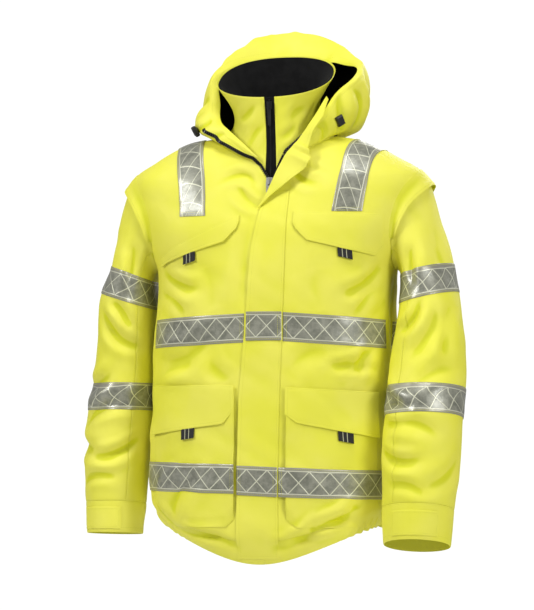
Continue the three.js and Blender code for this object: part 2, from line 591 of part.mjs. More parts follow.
const SLEEVES = [
  {
    side: "right", sign: -1, rings: RIGHT_SLEEVE,
    bands: [{ name: "upper", top: 0.245, bottom: 0.325 }, { name: "lower", top: 0.545, bottom: 0.625 }],
    tab: { from: 36, to: 90 },
  },
  {
    side: "left", sign: 1, rings: LEFT_SLEEVE,
    bands: [{ name: "upper", top: 0.225, bottom: 0.305 }, { name: "lower", top: 0.565, bottom: 0.645 }],
    tab: { from: 36, to: 90 },
  },
];
const CUFF = { lining: 0.885, tabLow: 0.985, tabHigh: 0.89 };
for (const { side, sign, rings, bands, tab } of SLEEVES) {
  const surface = sleeveSurface(sign, rings);
  const head = [0, 0.014, 0.035, 0.07, 0.12, 0.18, 0.26];
  const arm = fractions(9).map((s) => mix(rings[0].t, CUFF_SEAM, s));
  const bandEnds = bands.flatMap((strip) => [strip.top, strip.bottom]);
  const apart = (t) => bands.every((strip) => t < strip.top - 0.015 || t > strip.bottom + 0.015);
  const times = [...[...head, ...arm].filter(apart), ...bandEnds].sort((x, y) => x - y);
  const parts = [
    { name: `${side}_sleeve_under`, from: 126, to: 234 },
    { name: `${side}_sleeve_upper`, from: 234, to: 486 },
  ];
  for (const part of parts) {
    const turns = turnsFrom(part.from, part.to);
    turns[0] += SLEEVE_SEAM_TURN;
    turns[turns.length - 1] -= SLEEVE_SEAM_TURN;
    sleevePiece(part.name, SHELL, sign, surface, turns, times, -CLOTH, 0);
  }
  const cuffTimes = [CUFF_SEAM + 0.0006, 1];
  sleevePiece(`${side}_cuff`, SHELL, sign, surface, roundTurns, cuffTimes, -CLOTH, 0, true);
  const liningTimes = [CUFF.lining, 0.993];
  sleevePiece(`${side}_cuff_lining`, SHELL, sign, surface, roundTurns, liningTimes,
    -CLOTH - LAP - FACING, -CLOTH - LAP, true);
  const tabTurns = turnsFrom(tab.from, tab.to);
  sleevePiece(`${side}_cuff_tab`, SHELL, sign, surface, tabTurns, [CUFF.tabHigh, CUFF.tabLow],
    LAP, LAP + CLOTH);
  for (const strip of bands) {
    sleevePiece(`${side}_sleeve_band_${strip.name}`, REFLECTIVE, sign, surface, roundTurns,
      [strip.top, strip.bottom], LAP, LAP + TAPE, true);
  }
}

// A flange of cloth stands out over each sleeve head, above the armhole seam.
const CAP = {
  from: -108,
  to: 108,
  rows: [
    { t: 0.034, lift: 3.4 }, { t: 0.014, lift: 2.2 }, { reach: 0, lift: 1.3 },
    { reach: -6, lift: LAP }, { reach: -12, lift: LAP },
  ],
};
for (const { side, sign, rings } of SLEEVES) {
  const surface = sleeveSurface(sign, rings);
  const turns = turnsFrom(CAP.from, CAP.to);
  const order = sign > 0 ? [...turns].reverse() : turns;
  const layer = (out) => grid(order, CAP.rows, (turn, { t, reach, lift }) => {
    const taper = 0.35 + 0.65 * Math.sqrt(Math.cos(radians((turn * 90) / (CAP.to + 10))));
    if (t) {
      const normal = sleeveNormal(surface, sign, turn, t * taper);
      return surface(turn, t * taper).addScaledVector(normal, out + lift);
    }
    const { angle, v } = armholePlace(sign, turn);
    const { away, normal } = armholeOutward(sign, turn);
    if (reach === 0) normal.add(sleeveNormal(surface, sign, turn, 0.014)).normalize();
    return bodyPoint(angle, v).addScaledVector(away, reach * taper).addScaledVector(normal, out + lift);
  });
  add(`${side}_shoulder_cap`, wall(layer(CLOTH), layer(0)), SHELL);
}

// The stand collar runs on below the neck seam as the panel that shows in the V.
const CORNER_DEEPER = 1.6;
const V_INSET = CLOTH + LAP + ZIP_TAPE.thick + LAP + CORNER_DEEPER;
const COLLAR_REACH = { down: 5, v: 0.078, wide: 50 };
const collarMiddle = angleAtX(CENTRE_FRONT_X, 1);
function collarRing({ front, back, half, deep, rear, shift }, angle) {
  const p = ringPoint({ front, back, side: 0, half, deep, rear, shift }, angle);
  p.z = mix(front, back, (p.y + deep) / (deep + rear));
  return p;
}
function collarPoint(angle, b) {
  const seam = bodyOffset(angle, 1, -CLOTH);
  const shrink = 1 - 2 * SEAM / Math.hypot(seam.x, seam.y);
  seam.x *= shrink;
  seam.y *= shrink;
  const frontness = THREE.MathUtils.smoothstep(COLLAR_REACH.wide - angleBetween(angle, collarMiddle), 0, 24);
  seam.lerp(bodyOffset(angle, 1, -V_INSET), frontness);
  if (b <= 1) {
    const straight = seam.clone().add(point(0, 0, -COLLAR_REACH.down * (1 - b)));
    const along = bodyOffset(angle, 1 - COLLAR_REACH.v * (1 - b), -V_INSET);
    return straight.lerp(along, frontness);
  }
  const s = b - 1;
  return seam.multiplyScalar((1 - s) * (1 - 2 * s))
    .addScaledVector(collarRing(COLLAR.waist, angle), 4 * s * (1 - s))
    .addScaledVector(collarRing(COLLAR.rim, angle), s * (2 * s - 1));
}
const COLLAR_ROWS = [0, 0.5, 1, 1.33, 1.67, 2];
const collarGap = THREE.MathUtils.radToDeg(INNER_ZIP_GAP / 2 / COLLAR.waist.deep);
const COLLAR_COLUMNS = 28;
const collarAngles = fractions(COLLAR_COLUMNS).map((a) =>
  mix(collarMiddle + collarGap, collarMiddle + 360 - collarGap, a));
function collarPiece(name, finish, angles, rows, low, high) {
  const layer = (out) => grid(angles, rows, (angle, b) =>
    collarPoint(angle, b).addScaledVector(normalOf(collarPoint, angle, b, 0.01), out));
  add(name, wall(layer(high), layer(low)), finish);
}
collarPiece("collar", SHELL, collarAngles, COLLAR_ROWS, -CLOTH, 0);
collarPiece("collar_lining", BLACK_CLOTH, collarAngles, [1, 1.33, 1.67, 1.985],
  -CLOTH - LAP - FACING, -CLOTH - LAP);
const innerZipAngles = fractions(3).map((a) =>
  mix(collarMiddle - collarGap + 0.25, collarMiddle + collarGap - 0.25, a));
collarPiece("inner_zip_tape", BLACK_CLOTH, innerZipAngles, COLLAR_ROWS, -CLOTH, -CLOTH + FACING);

// The hood stands round the collar and folds over at its top.
function hoodPoint(angle, b) {
  const value = (name, k) => column(HOOD, "angle", angle, (row) => row[name][k]);
  const base = bodyPoint(angle, 1);
  const rows = [
    { b: 0, reach: Math.hypot(base.x, base.y), z: base.z + 1.6 * SEAM },
    { b: 0.26, reach: value("low", 0), z: value("low", 1) },
    { b: 0.55, reach: value("high", 0), z: value("high", 1) },
    { b: 0.88, reach: value("top", 0), z: value("top", 1) },
    { b: 1, reach: value("tuck", 0), z: value("tuck", 1) },
  ];
  const reach = column(rows, "b", b, (row) => row.reach);
  const z = column(rows, "b", b, (row) => row.z);
  return point(reach * Math.sin(radians(angle)), -reach * Math.cos(radians(angle)), z);
}
function hoodPiece(name, finish, angles, rows, low, high) {
  const layer = (out) => grid(angles, rows, (angle, b) => {
    const [up, down] = [Math.min(b + 0.01, 1), Math.max(b - 0.01, 0)];
    const round = hoodPoint(angle + 1, b).sub(hoodPoint(angle - 1, b));
    const rise = hoodPoint(angle, up).sub(hoodPoint(angle, down));
    return hoodPoint(angle, b).addScaledVector(round.cross(rise).normalize(), out);
  });
  add(name, wall(layer(high), layer(low)), finish);
}
const HOOD_COLUMNS = 26;
const hoodAngles = fractions(HOOD_COLUMNS).map((a) => mix(HOOD[0].angle, HOOD[HOOD.length - 1].angle, a));
hoodPiece("hood", SHELL, hoodAngles, [0, 0.13, 0.26, 0.4, 0.55, 0.7, 0.8, 0.9, 1], -CLOTH, 0);
hoodPiece("hood_lining", BLACK_CLOTH, hoodAngles.slice(3, -3), [0.26, 0.4, 0.55, 0.7, 0.8],
  -CLOTH - LAP - FACING, -CLOTH - LAP);

// The outer zip's tapes run up the V and on along the hood's front edges. Each place along one has
// a point past the cloth's edge, one at the edge and one under the cloth, with the cloth's normals.
const pastEdge = (edge, under) => edge.clone().add(edge.clone().sub(under).setLength(ZIP_TAPE.shown));
function sunk(points, normals, depth) {
  points.forEach((p, i) => p.addScaledVector(normals[i], -depth));
  return { points, normals };
}
function zipTapeOnBody(side, s) {
  const sign = side === "left" ? 1 : -1;
  const v = mix(0.942, 0.996, s);
  const x = frontEdge(side, v);
  const angles = [angleAtX(x, v), angleAtX(x + sign * ZIP_TAPE.under, v)];
  const [edge, under] = angles.map((angle) => bodyPoint(angle, v));
  const [edgeNormal, underNormal] = angles.map((angle) => bodyNormal(angle, v));
  const normals = [edgeNormal, edgeNormal, underNormal];
  return sunk([pastEdge(edge, under), edge, under], normals, CORNER_DEEPER * s * s);
}
const HOOD_TAPE = { left: [-341, -302], right: [-13, -60], under: 0.86, deeper: 0.9 };
function zipTapeOnHood(side, s) {
  const angle = mix(...HOOD_TAPE[side], s);
  const [edge, under] = [1, HOOD_TAPE.under].map((b) => hoodPoint(angle, b));
  const [edgeNormal, underNormal] = [0.98, HOOD_TAPE.under].map((b) => normalOf(hoodPoint, angle, b, 0.02));
  const normals = [edgeNormal, edgeNormal, underNormal];
  const depth = HOOD_TAPE.deeper + CORNER_DEEPER * (1 - s) ** 4;
  return sunk([pastEdge(edge, under), edge, under], normals, depth);
}
for (const side of ["right", "left"]) {
  const stations = fractions(3).map((s) => zipTapeOnBody(side, s));
  stations.push(...fractions(7).map((s) => zipTapeOnHood(side, s)));
  const layer = (depth) => [0, 1, 2].map((i) => stations.map(({ points, normals }) =>
    points[i].clone().addScaledVector(normals[i], -depth)));
  const layers = [layer(CLOTH + LAP), layer(CLOTH + LAP + ZIP_TAPE.thick)];
  if (side === "right") layers.forEach((columns) => columns.reverse());
  add(`outer_zip_tape_${side}`, wall(...layers), BLACK_CLOTH);
}

// Joined solids for the zip sliders
const wasm = await Module();
wasm.setup();
function toSolid(geometry) {
  const bare = geometry.clone();
  bare.deleteAttribute("normal");
  bare.deleteAttribute("uv");
  const merged = mergeVertices(bare, 1e-4);
  const index = merged.index ?? { array: [...Array(merged.attributes.position.count).keys()] };
  return new wasm.Manifold(new wasm.Mesh({
    numProp: 3,
    vertProperties: new Float32Array(merged.attributes.position.array),
    triVerts: new Uint32Array(index.array),
  }));
}
function toGeometry(solid) {
  const mesh = solid.getMesh();
  const geometry = new THREE.BufferGeometry();
  geometry.setAttribute("position", new THREE.BufferAttribute(new Float32Array(mesh.vertProperties), 3));
  geometry.setIndex([...mesh.triVerts]);
  geometry.computeVertexNormals();
  return geometry;
}
const box = (width, depth, height, x, y, z) =>
  new THREE.BoxGeometry(width, depth, height).translate(x, y, z);

// A slider is a block with a bridge. The pull tab's top bar turns under the bridge.
const OUTER_ZIP = { width: 11, height: 16, depth: 4, bridge: 2.4, room: 2.8, tab: 27, tabWidth: 8.4 };
const INNER_ZIP = { width: 9, height: 13, depth: 3.4, bridge: 2, room: 2.6, tab: 34, tabWidth: 7 };
const BAR = 1.4;
function zipSlider(name, size, finish, place, normal) {
  const group = new THREE.Group();
  group.position.copy(place).addScaledVector(normal, LAP);
  group.rotation.x = -Math.atan2(normal.z, -normal.y);
  const front = -size.depth - size.room;
  const legHeight = 1.6;
  const reach = size.height / 2 - 2;
  const block = toSolid(box(size.width, size.depth, size.height, 0, -size.depth / 2, 0));
  const legs = [reach, -reach].map((z) =>
    toSolid(box(size.bridge, size.room + 0.2, legHeight, 0, -size.depth - size.room / 2 + 0.1, z)));
  const bridge = toSolid(box(size.bridge, BAR, 2 * reach + legHeight, 0, front - BAR / 2, 0));
  const body = new THREE.Mesh(toGeometry(block.add(legs[0]).add(legs[1]).add(bridge)), finish);
  body.name = `${name}_slider`;
  group.add(body);

  const barZ = -reach + legHeight / 2 + 1.3;
  const outline = new THREE.Shape();
  const half = size.tabWidth / 2;
  outline.moveTo(-half, BAR / 2);
  outline.lineTo(-half * 0.8, -size.tab + 2);
  outline.quadraticCurveTo(0, -size.tab - 1, half * 0.8, -size.tab + 2);
  outline.lineTo(half, BAR / 2);
  const hole = new THREE.Path();
  const slot = size.bridge / 2 + 0.5;
  hole.moveTo(-slot, -BAR / 2);
  hole.lineTo(slot, -BAR / 2);
  hole.lineTo(slot, -BAR / 2 - 4.2);
  hole.lineTo(-slot, -BAR / 2 - 4.2);
  outline.holes.push(hole);
  const plate = new THREE.ExtrudeGeometry(outline, { depth: BAR, bevelEnabled: false, curveSegments: 4 });
  plate.translate(0, 0, -BAR / 2).rotateX(Math.PI / 2);
  const tab = new THREE.Mesh(toGeometry(toSolid(plate)), finish);
  tab.position.set(0, -size.depth - size.room / 2, barZ);
  tab.name = `${name}_pull`;
  group.add(tab);
  jacket.add(group);
  return group;
}
const OUTER_SLIDER = { x: 7, z: -76 };
const outerPlace = bodyAt(OUTER_SLIDER.x, OUTER_SLIDER.z);
const facing = (normal) => point(0, normal.y, normal.z).normalize();
zipSlider("outer_zip", OUTER_ZIP, SILVER, bodyPoint(outerPlace.angle, outerPlace.v),
  facing(bodyNormal(outerPlace.angle, outerPlace.v)));
const INNER_SLIDER_ROW = 1.86;
zipSlider("inner_zip", INNER_ZIP, BLACK_PLASTIC, collarPoint(collarMiddle, INNER_SLIDER_ROW),
  facing(normalOf(collarPoint, collarMiddle, INNER_SLIDER_ROW, 0.01)));

// Cord locks of the hood, one on each side of its front
const CORD_LOCKS = [
  { name: "cord_lock_right", angle: -76, b: 0.34 },
  { name: "cord_lock_left", angle: -293, b: 0.5 },
];
const LOCK = { width: 14, height: 18, depth: 9, bevel: 2.5, lift: 0.05 };
for (const { name, angle, b } of CORD_LOCKS) {
  const outline = new THREE.Shape();
  const [halfWidth, halfHeight] = [LOCK.width / 2 - LOCK.bevel, LOCK.height / 2 - LOCK.bevel];
  outline.moveTo(-halfWidth, -halfHeight);
  outline.lineTo(halfWidth, -halfHeight);
  outline.lineTo(halfWidth, halfHeight);
  outline.lineTo(-halfWidth, halfHeight);
  const geometry = new THREE.ExtrudeGeometry(outline, {
    depth: LOCK.depth - 2 * LOCK.bevel,
    bevelThickness: LOCK.bevel,
    bevelSize: LOCK.bevel,
    bevelSegments: 2,
  });
  geometry.translate(0, 0, LOCK.bevel);
  const lock = new THREE.Mesh(toGeometry(toSolid(geometry)), BLACK_PLASTIC);
  const round = hoodPoint(angle + 1, b).sub(hoodPoint(angle - 1, b));
  const rise = hoodPoint(angle, b + 0.02).sub(hoodPoint(angle, b - 0.02));
  const out = round.clone().cross(rise).normalize();
  const side = round.normalize();
  lock.quaternion.setFromRotationMatrix(new THREE.Matrix4().makeBasis(side, out.clone().cross(side), out));
  lock.position.copy(hoodPoint(angle, b)).addScaledVector(out, LOCK.lift);
  lock.name = name;
  jacket.add(lock);
}

export default jacket;
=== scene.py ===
# A hi-vis work jacket in the hollow form that it keeps when worn: its cloth, tape, zips and sewing.
# Tables and offsets are in millimetres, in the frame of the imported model: +Z up, front towards -Y,
# +X the wearer's left. Meshes are written in metres.
import math

import bpy
import numpy as np
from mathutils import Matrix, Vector
from mathutils.bvhtree import BVHTree


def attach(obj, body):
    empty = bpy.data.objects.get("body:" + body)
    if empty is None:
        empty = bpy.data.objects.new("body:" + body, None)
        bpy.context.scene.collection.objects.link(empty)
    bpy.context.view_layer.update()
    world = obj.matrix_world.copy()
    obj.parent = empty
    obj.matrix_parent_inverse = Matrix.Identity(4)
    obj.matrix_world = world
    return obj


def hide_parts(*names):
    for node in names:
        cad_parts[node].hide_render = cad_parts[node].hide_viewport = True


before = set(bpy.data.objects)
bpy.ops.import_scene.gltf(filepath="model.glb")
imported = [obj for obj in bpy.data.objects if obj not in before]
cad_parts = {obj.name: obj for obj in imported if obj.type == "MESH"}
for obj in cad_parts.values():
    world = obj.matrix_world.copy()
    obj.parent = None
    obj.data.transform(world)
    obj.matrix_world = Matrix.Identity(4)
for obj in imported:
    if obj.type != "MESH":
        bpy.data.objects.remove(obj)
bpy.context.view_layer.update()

MM = 0.001
CLOTH = 1.5
FACING = 1.1
TAPE = 0.9
SEAM = 0.3
LAP = 0.35
TAPE_WIDTH = 50
ON_PANEL = LAP + CLOTH
ON_POCKET = ON_PANEL + LAP + CLOTH
UNDER = -CLOTH - LAP

CENTRE_FRONT_X = 6
CHEST_BAND_TOP = -306
HEM_BAND_TOP = -566
HEM_SEAM = 0.055
CUFF_SEAM = 0.87
SQUARENESS = 2.3


# Camera: at the photograph's angle, level with the lower body and far away with a long lens
CAMERA = dict(azimuth=12, away=4500, z=-490, look_z=-285, look_right=-19, high=1086, sensor=24)


def make_camera():
    turn = math.radians(CAMERA["azimuth"])
    right = Vector((math.cos(turn), math.sin(turn), 0))
    back = Vector((math.sin(turn), -math.cos(turn), 0))
    aim = right * CAMERA["look_right"] + Vector((0, 0, CAMERA["look_z"]))
    place = aim + back * CAMERA["away"]
    place.z = CAMERA["z"]
    data = bpy.data.cameras.new("camera")
    data.sensor_fit = "VERTICAL"
    data.sensor_height = CAMERA["sensor"]
    data.lens = CAMERA["sensor"] * (place - aim).length / CAMERA["high"]
    camera = bpy.data.objects.new("camera", data)
    camera.location = place * MM
    camera.rotation_euler = (aim - place).to_track_quat("-Z", "Y").to_euler()
    bpy.context.collection.objects.link(camera)
    bpy.context.scene.camera = camera


make_camera()


def table(columns, *rows):
    """A table's rows as dicts of its named columns."""
    return [dict(zip(columns.split(), row)) for row in rows]


# Body sections from the hem to the neck, as in the model
BODY = table("v front side back half deep rear shift",
    (0.0, -738, -672, -718, 190, 144, 140, -3),
    (0.05, -704, -648, -690, 205, 153, 149, -6),
    (0.12, -650, -620, -646, 216, 157, 154, -8),
    (0.24, -560, -558, -560, 218, 155, 153, -8),
    (0.38, -450, -450, -450, 216, 152, 150, -6),
    (0.54, -330, -330, -328, 214, 149, 146, -3),
    (0.68, -225, -225, -222, 213, 144, 142, 0),
    (0.73, -187, -187, -182, 231, 141, 139, 0),
    (0.78, -155, -150, -146, 250, 137, 135, 0),
    (0.83, -131, -106, -114, 262, 128, 129, 0),
    (0.88, -112, -58, -84, 263, 118, 120, 0),
    (0.92, -91, -24, -54, 215, 108, 111, 0),
    (0.96, -67, 3, -26, 160, 99, 101, 0),
    (1.0, -40, 14, 4, 108, 92, 92, 0),
)
ARMHOLE = dict(bottom=0.68, top=0.88, spread=19)
RIGHT_SLEEVE = table("t x y z across along tilt",
    (0.34, -274, 8, -300, 53, 76, 0),
    (0.52, -283, 10, -409, 57, 72, 0.02),
    (0.7, -293, 4, -520, 60, 68, 0.05),
    (0.8, -295, -4, -590, 57, 62, 0.08),
    (0.88, -295, -10, -642, 53, 57, 0.08),
    (1.0, -294, -16, -692, 50, 53, 0.08),
)
LEFT_SLEEVE = table("t x y z across along tilt",
    (0.34, 277, -28, -300, 56, 76, 0),
    (0.48, 278, -50, -380, 64, 74, 0.08),
    (0.62, 276, -78, -470, 69, 70, 0.15),
    (0.76, 270, -95, -560, 67, 66, 0.2),
    (0.88, 267, -105, -648, 62, 60, 0.22),
    (1.0, 266, -110, -704, 58, 57, 0.24),
)
COLLAR_RIM = dict(front=76, back=174, half=106, deep=88, rear=98, shift=-3)
COLLAR_WAIST = dict(front=22, back=84, half=75, deep=82, rear=89, shift=-1)
# The hood's cloth at each angle round the neck: (reach, height) of four levels from its base to its edge
HOOD = table("angle low high top tuck",
    (-344, (94, -35), (95.5, -31), (97, -27), (97, -25)),
    (-328, (99, -22), (102, -12), (104, -3), (102.5, 0)),
    (-310, (109, -4), (113, 10), (111, 28), (108, 31)),
    (-290, (124, 16), (134, 46), (126, 84), (119, 86)),
    (-270, (138, 28), (154, 68), (148, 116), (138, 120)),
    (-248, (148, 30), (168, 84), (156, 150), (141, 146)),
    (-222, (150, 32), (174, 100), (150, 192), (118, 162)),
    (-198, (148, 30), (172, 104), (140, 216), (109, 172)),
    (-172, (148, 28), (170, 104), (136, 219), (108, 173)),
    (-148, (148, 28), (166, 98), (134, 206), (108, 166)),
    (-124, (146, 28), (160, 84), (132, 168), (111, 150)),
    (-100, (140, 28), (148, 68), (128, 124), (112, 118)),
    (-80, (140, 24), (146, 46), (122, 78), (104, 80)),
    (-62, (130, 12), (134, 23), (120, 40), (106, 44)),
    (-44, (113, -8), (117, -3), (111, 16), (104, 22)),
    (-26, (101, -26), (103, -23), (102, -9), (99, -3)),
    (-10, (94, -37), (95.5, -34), (97, -31), (97, -29)),
)

# Creases drawn on the flat cloth. Each runs from (u0, w0) to (u1, w1) and bows sideways. Its depth is
# that of a trough with raised shoulders.
FOLD = "u0 w0 u1 w1 bow width depth"
# On the body u is the way round from the centre front and w the height.
BODY_FOLDS = table(FOLD,
    (-208, -236, -120, -262, 8, 11, 3.2),
    (-214, -268, -150, -300, -6, 10, 2.2),
    (222, -232, 150, -272, -8, 11, 3.4),
    (226, -262, 176, -302, 5, 9, 2.4),
    (-100, -66, -30, -74, -8, 9, 3.2),
    (-66, -84, -8, -120, 6, 8, 2.4),
    (70, -50, 120, -78, 7, 9, 2.6),
    (-212, -384, -96, -356, 12, 17, 3.4),
    (-200, -412, -128, -396, -7, 12, 1.8),
    (-92, -384, -50, -420, 6, 13, 1.6),
    (206, -372, 132, -398, -8, 9, 3.6),
    (212, -398, 160, -414, 6, 8, 2.6),
    (190, -366, 176, -424, -5, 7, 1.8),
    (128, -372, 60, -398, 9, 15, 1.4),
    (-112, -585, -166, -664, 14, 18, 4.6),
    (-170, -676, -60, -690, 7, 8, 5.2),
    (-130, -694, -32, -708, -6, 7, 3.4),
    (-206, -640, -168, -672, 4, 9, 3.2),
    (34, -712, 104, -672, 9, 10, 5.0),
    (104, -676, 186, -664, -8, 9, 4.4),
    (56, -690, 160, -700, 5, 8, 3.2),
    (186, -640, 140, -668, 5, 10, 3.0),
    (-24, -150, -30, -280, 4, 12, 1.0),
    (100, -232, 112, -300, 6, 22, 1.6),
    (-110, -226, -90, -300, -6, 22, 1.6),
    (292, -250, 318, -420, 16, 15, 4.2),
    (-290, -252, -322, -430, -14, 15, 4.4),
    (262, -480, 336, -520, 10, 16, 3.4),
    (-262, -470, -340, -516, -10, 16, 3.6),
    (420, -250, 520, -306, 12, 16, 4.4),
    (-430, -246, -520, -310, -12, 17, 4.6),
    (390, -300, 470, -410, 16, 18, 4.0),
    (-380, -306, -450, -430, -15, 18, 3.8),
    (470, -452, 640, -470, 9, 16, 3.8),
    (-500, -498, -400, -470, 9, 13, 3.4),
    (520, -512, 660, -524, -9, 13, 3.4),
    (440, -640, 560, -662, 9, 12, 4.8),
    (-560, -676, -420, -650, -8, 11, 4.6),
    (-380, -664, -300, -640, 7, 10, 3.6),
    (300, -662, 392, -640, 7, 10, 3.8),
    (560, -60, 560, -200, 10, 26, 2.2),
    (440, -120, 500, -200, -9, 18, 2.4),
    (-440, -120, -500, -196, 9, 18, 2.6),
)
# On a sleeve u is the way round from the shoulder and the outside of the arm, towards the front.
SLEEVE_FOLDS = {
    "right": table(FOLD,
        (60, -300, 150, -362, 10, 11, 4.2),
        (84, -280, 128, -330, -7, 9, 3.2),
        (10, -430, 96, -408, 10, 13, 3.4),
        (40, -492, 140, -462, -12, 12, 4.2),
        (-10, -520, 76, -540, 9, 12, 3.6),
        (70, -556, 160, -528, 8, 10, 4.0),
        (30, -600, 120, -590, -7, 9, 2.8),
        (-60, -350, -150, -384, 10, 14, 4.2),
        (-50, -420, -140, -440, -9, 13, 4.4),
        (-60, -500, -160, -478, 9, 12, 4.0),
        (-30, -570, -120, -556, -8, 11, 3.4),
        (-80, -160, -120, -250, 8, 16, 3.4),
        (92, -180, 120, -246, -8, 12, 3.4),
        (20, -150, 34, -250, 10, 20, 2.2),
    ),
    "left": table(FOLD,
        (76, -296, 120, -378, 9, 12, 4.6),
        (44, -290, 60, -384, -10, 14, 3.2),
        (112, -290, 160, -338, 8, 10, 4.4),
        (30, -402, 118, -432, -9, 14, 2.4),
        (110, -470, 186, -440, 8, 11, 4.4),
        (70, -512, 170, -498, -10, 12, 3.4),
        (96, -560, 180, -546, 8, 10, 3.6),
        (14, -560, 90, -604, 10, 14, 2.4),
        (84, -614, 150, -600, -6, 9, 2.6),
        (-60, -330, -150, -370, 10, 14, 4.4),
        (-40, -430, -150, -420, -10, 13, 4.4),
        (-50, -520, -150, -500, 9, 13, 4.0),
        (-40, -590, -130, -580, -8, 11, 3.4),
        (-80, -160, -116, -246, 8, 16, 3.2),
        (96, -190, 128, -252, -8, 12, 3.6),
        (20, -140, 30, -250, -10, 20, 2.2),
    ),
}
# On the hood u is the angle round the neck times HOOD_GIRTH, and w the share of the way up the cloth
# times HOOD_HEIGHT.
HOOD_GIRTH = 2.6
HOOD_HEIGHT = 220
HOOD_FOLDS = table(FOLD,
    (-494, 207, -474, 224, 4, 8, 6.5),
    (-436, 206, -420, 224, -4, 7, 5.5),
    (-566, 206, -576, 222, 4, 8, 4.0),
    (-640, 90, -662, 196, -9, 12, 5.4),
    (-700, 60, -716, 178, 9, 11, 5.0),
    (-742, 60, -752, 196, -6, 9, 4.6),
    (-786, 50, -800, 190, 6, 8, 3.4),
    (-380, 120, -360, 208, -8, 11, 4.4),
    (-318, 100, -300, 200, 8, 12, 5.0),
    (-252, 60, -226, 190, -8, 12, 4.8),
    (-196, 60, -170, 196, 8, 10, 4.4),
    (-140, 60, -120, 190, -6, 9, 3.0),
    (-640, 40, -540, 30, 8, 10, 4.6),
    (-520, 26, -400, 36, -8, 11, 5.0),
    (-380, 34, -290, 26, 7, 10, 4.4),
)
COLLAR_FOLDS = table(FOLD,
    (-70, 40, -30, 66, 5, 8, 2.2),
    (40, 34, 74, 62, -5, 9, 2.4),
    (20, 4, 52, 30, 4, 7, 1.6),
    (-46, -10, -20, 24, -4, 7, 1.6),
    (120, 60, 170, 90, 6, 12, 2.6),
    (-130, 60, -180, 96, -6, 12, 2.6),
)


def hermite(s, span, start, start_slope, end, end_slope):
    """A smooth curve between two values with given slopes, at a share s of the span."""
    s2, s3 = s * s, s * s * s
    return ((2 * s3 - 3 * s2 + 1) * start + (s3 - 2 * s2 + s) * span * start_slope
            + (3 * s2 - 2 * s3) * end + (s3 - s2) * span * end_slope)


def neighbours(count):
    """The places before and after each of so many places, kept within them."""
    places = np.arange(count)
    return np.maximum(places - 1, 0), np.minimum(places + 1, count - 1)


def column(rows, key, name, part=None):
    """A smooth curve through one column of a table, for arrays of its key."""
    keys = np.array([row[key] for row in rows], float)
    values = np.array([row[name] if part is None else row[name][part] for row in rows], float)
    before, after = neighbours(len(keys))
    slopes = (values[after] - values[before]) / (keys[after] - keys[before])

    def curve(at):
        at = np.asarray(at, float)
        i = np.clip(np.searchsorted(keys, at, side="right") - 1, 0, len(keys) - 2)
        span = keys[i + 1] - keys[i]
        s = np.clip((at - keys[i]) / span, 0, 1)
        return hermite(s, span, values[i], slopes[i], values[i + 1], slopes[i + 1])

    return curve


def columns_of(rows, key):
    """A smooth curve through each column of a table but its key."""
    return {name: column(rows, key, name) for name in rows[0] if name != key}


def row_at(columns, at):
    return {name: curve(at) for name, curve in columns.items()}


def floats(*values):
    return np.broadcast_arrays(*[np.asarray(value, float) for value in values])


def stack(*parts):
    return np.stack(np.broadcast_arrays(*parts), axis=-1)


def unit(vectors):
    return vectors / np.linalg.norm(vectors, axis=-1, keepdims=True)


def mix(a, b, s):
    return a + (b - a) * s


def smooth(x, low, high):
    s = np.clip((np.asarray(x, float) - low) / (high - low), 0, 1)
    return s * s * (3 - 2 * s)


def sine(degrees):
    return np.sin(np.radians(degrees))


def cosine(degrees):
    return np.cos(np.radians(degrees))


def outwards(angle):
    return stack(sine(angle), -cosine(angle), 0 * angle)


def run_length(line):
    """Each point's distance along a line from its start."""
    return np.concatenate([[0], np.cumsum(np.linalg.norm(np.diff(line, axis=0), axis=1))])


def halved(low, high, steps, is_low):
    """The place between low and high where is_low(place) stops, by halving."""
    for _ in range(steps):
        middle = (low + high) / 2
        under = is_low(middle)
        low = np.where(under, middle, low)
        high = np.where(under, high, middle)
    return (low + high) / 2


# How many times deeper than in the tables the creases are, with less of that on the hood and the collar,
# and the raised shoulder beside each trough, in widths of the trough
FOLD_DEPTH = 2.3
HOOD_SHARE = 0.7
COLLAR_SHARE = 0.7
FOLD_SHOULDER = dict(high=0.42, at=1.9, wide=0.9)


def folds(creases, u, w, girth=None):
    """How far creases push the cloth out at places (u, w), where u may close round at a girth."""
    total = np.zeros(np.broadcast(u, w).shape)
    shoulder = FOLD_SHOULDER
    for crease in creases:
        u0, w0, u1, w1, bow, width, depth = crease.values()
        length = math.hypot(u1 - u0, w1 - w0)
        du = u - u0
        if girth:
            middle = (u1 - u0) / 2
            du = (du - middle + girth / 2) % girth - girth / 2 + middle
        along = (du * (u1 - u0) + (w - w0) * (w1 - w0)) / length**2
        across = (du * (w1 - w0) - (w - w0) * (u1 - u0)) / length
        inside = np.clip(along, 0, 1)
        across = across - bow * 4 * inside * (1 - inside)
        beyond = np.abs(along - inside) * length
        taper = (0.25 + 0.75 * np.sin(np.pi * inside) ** 0.8) * np.exp(-((beyond / width) ** 2))
        x = np.abs(across / width)
        trough = np.exp(-(x**1.5))
        trough = trough - shoulder["high"] * np.exp(-(((x - shoulder["at"]) / shoulder["wide"]) ** 2))
        total -= depth * trough * taper
    return total * FOLD_DEPTH


# Long low waves in cloth that hangs free, and their height on each part
RIPPLE = dict(body=1.4, sleeve=1.3, collar=0.8, hood=2.0)
RIPPLES = table("length way phase share",
    (211, (0.9, 0.3, 0.3), 0.4, 1.0),
    (137, (-0.3, 0.5, 0.8), 2.1, 0.7),
    (96, (0.7, -0.6, 0.4), 4.0, 0.5),
    (71, (0.4, 0.8, -0.5), 1.3, 0.32),
    (53, (0.6, 0.2, 0.8), 5.1, 0.2),
)


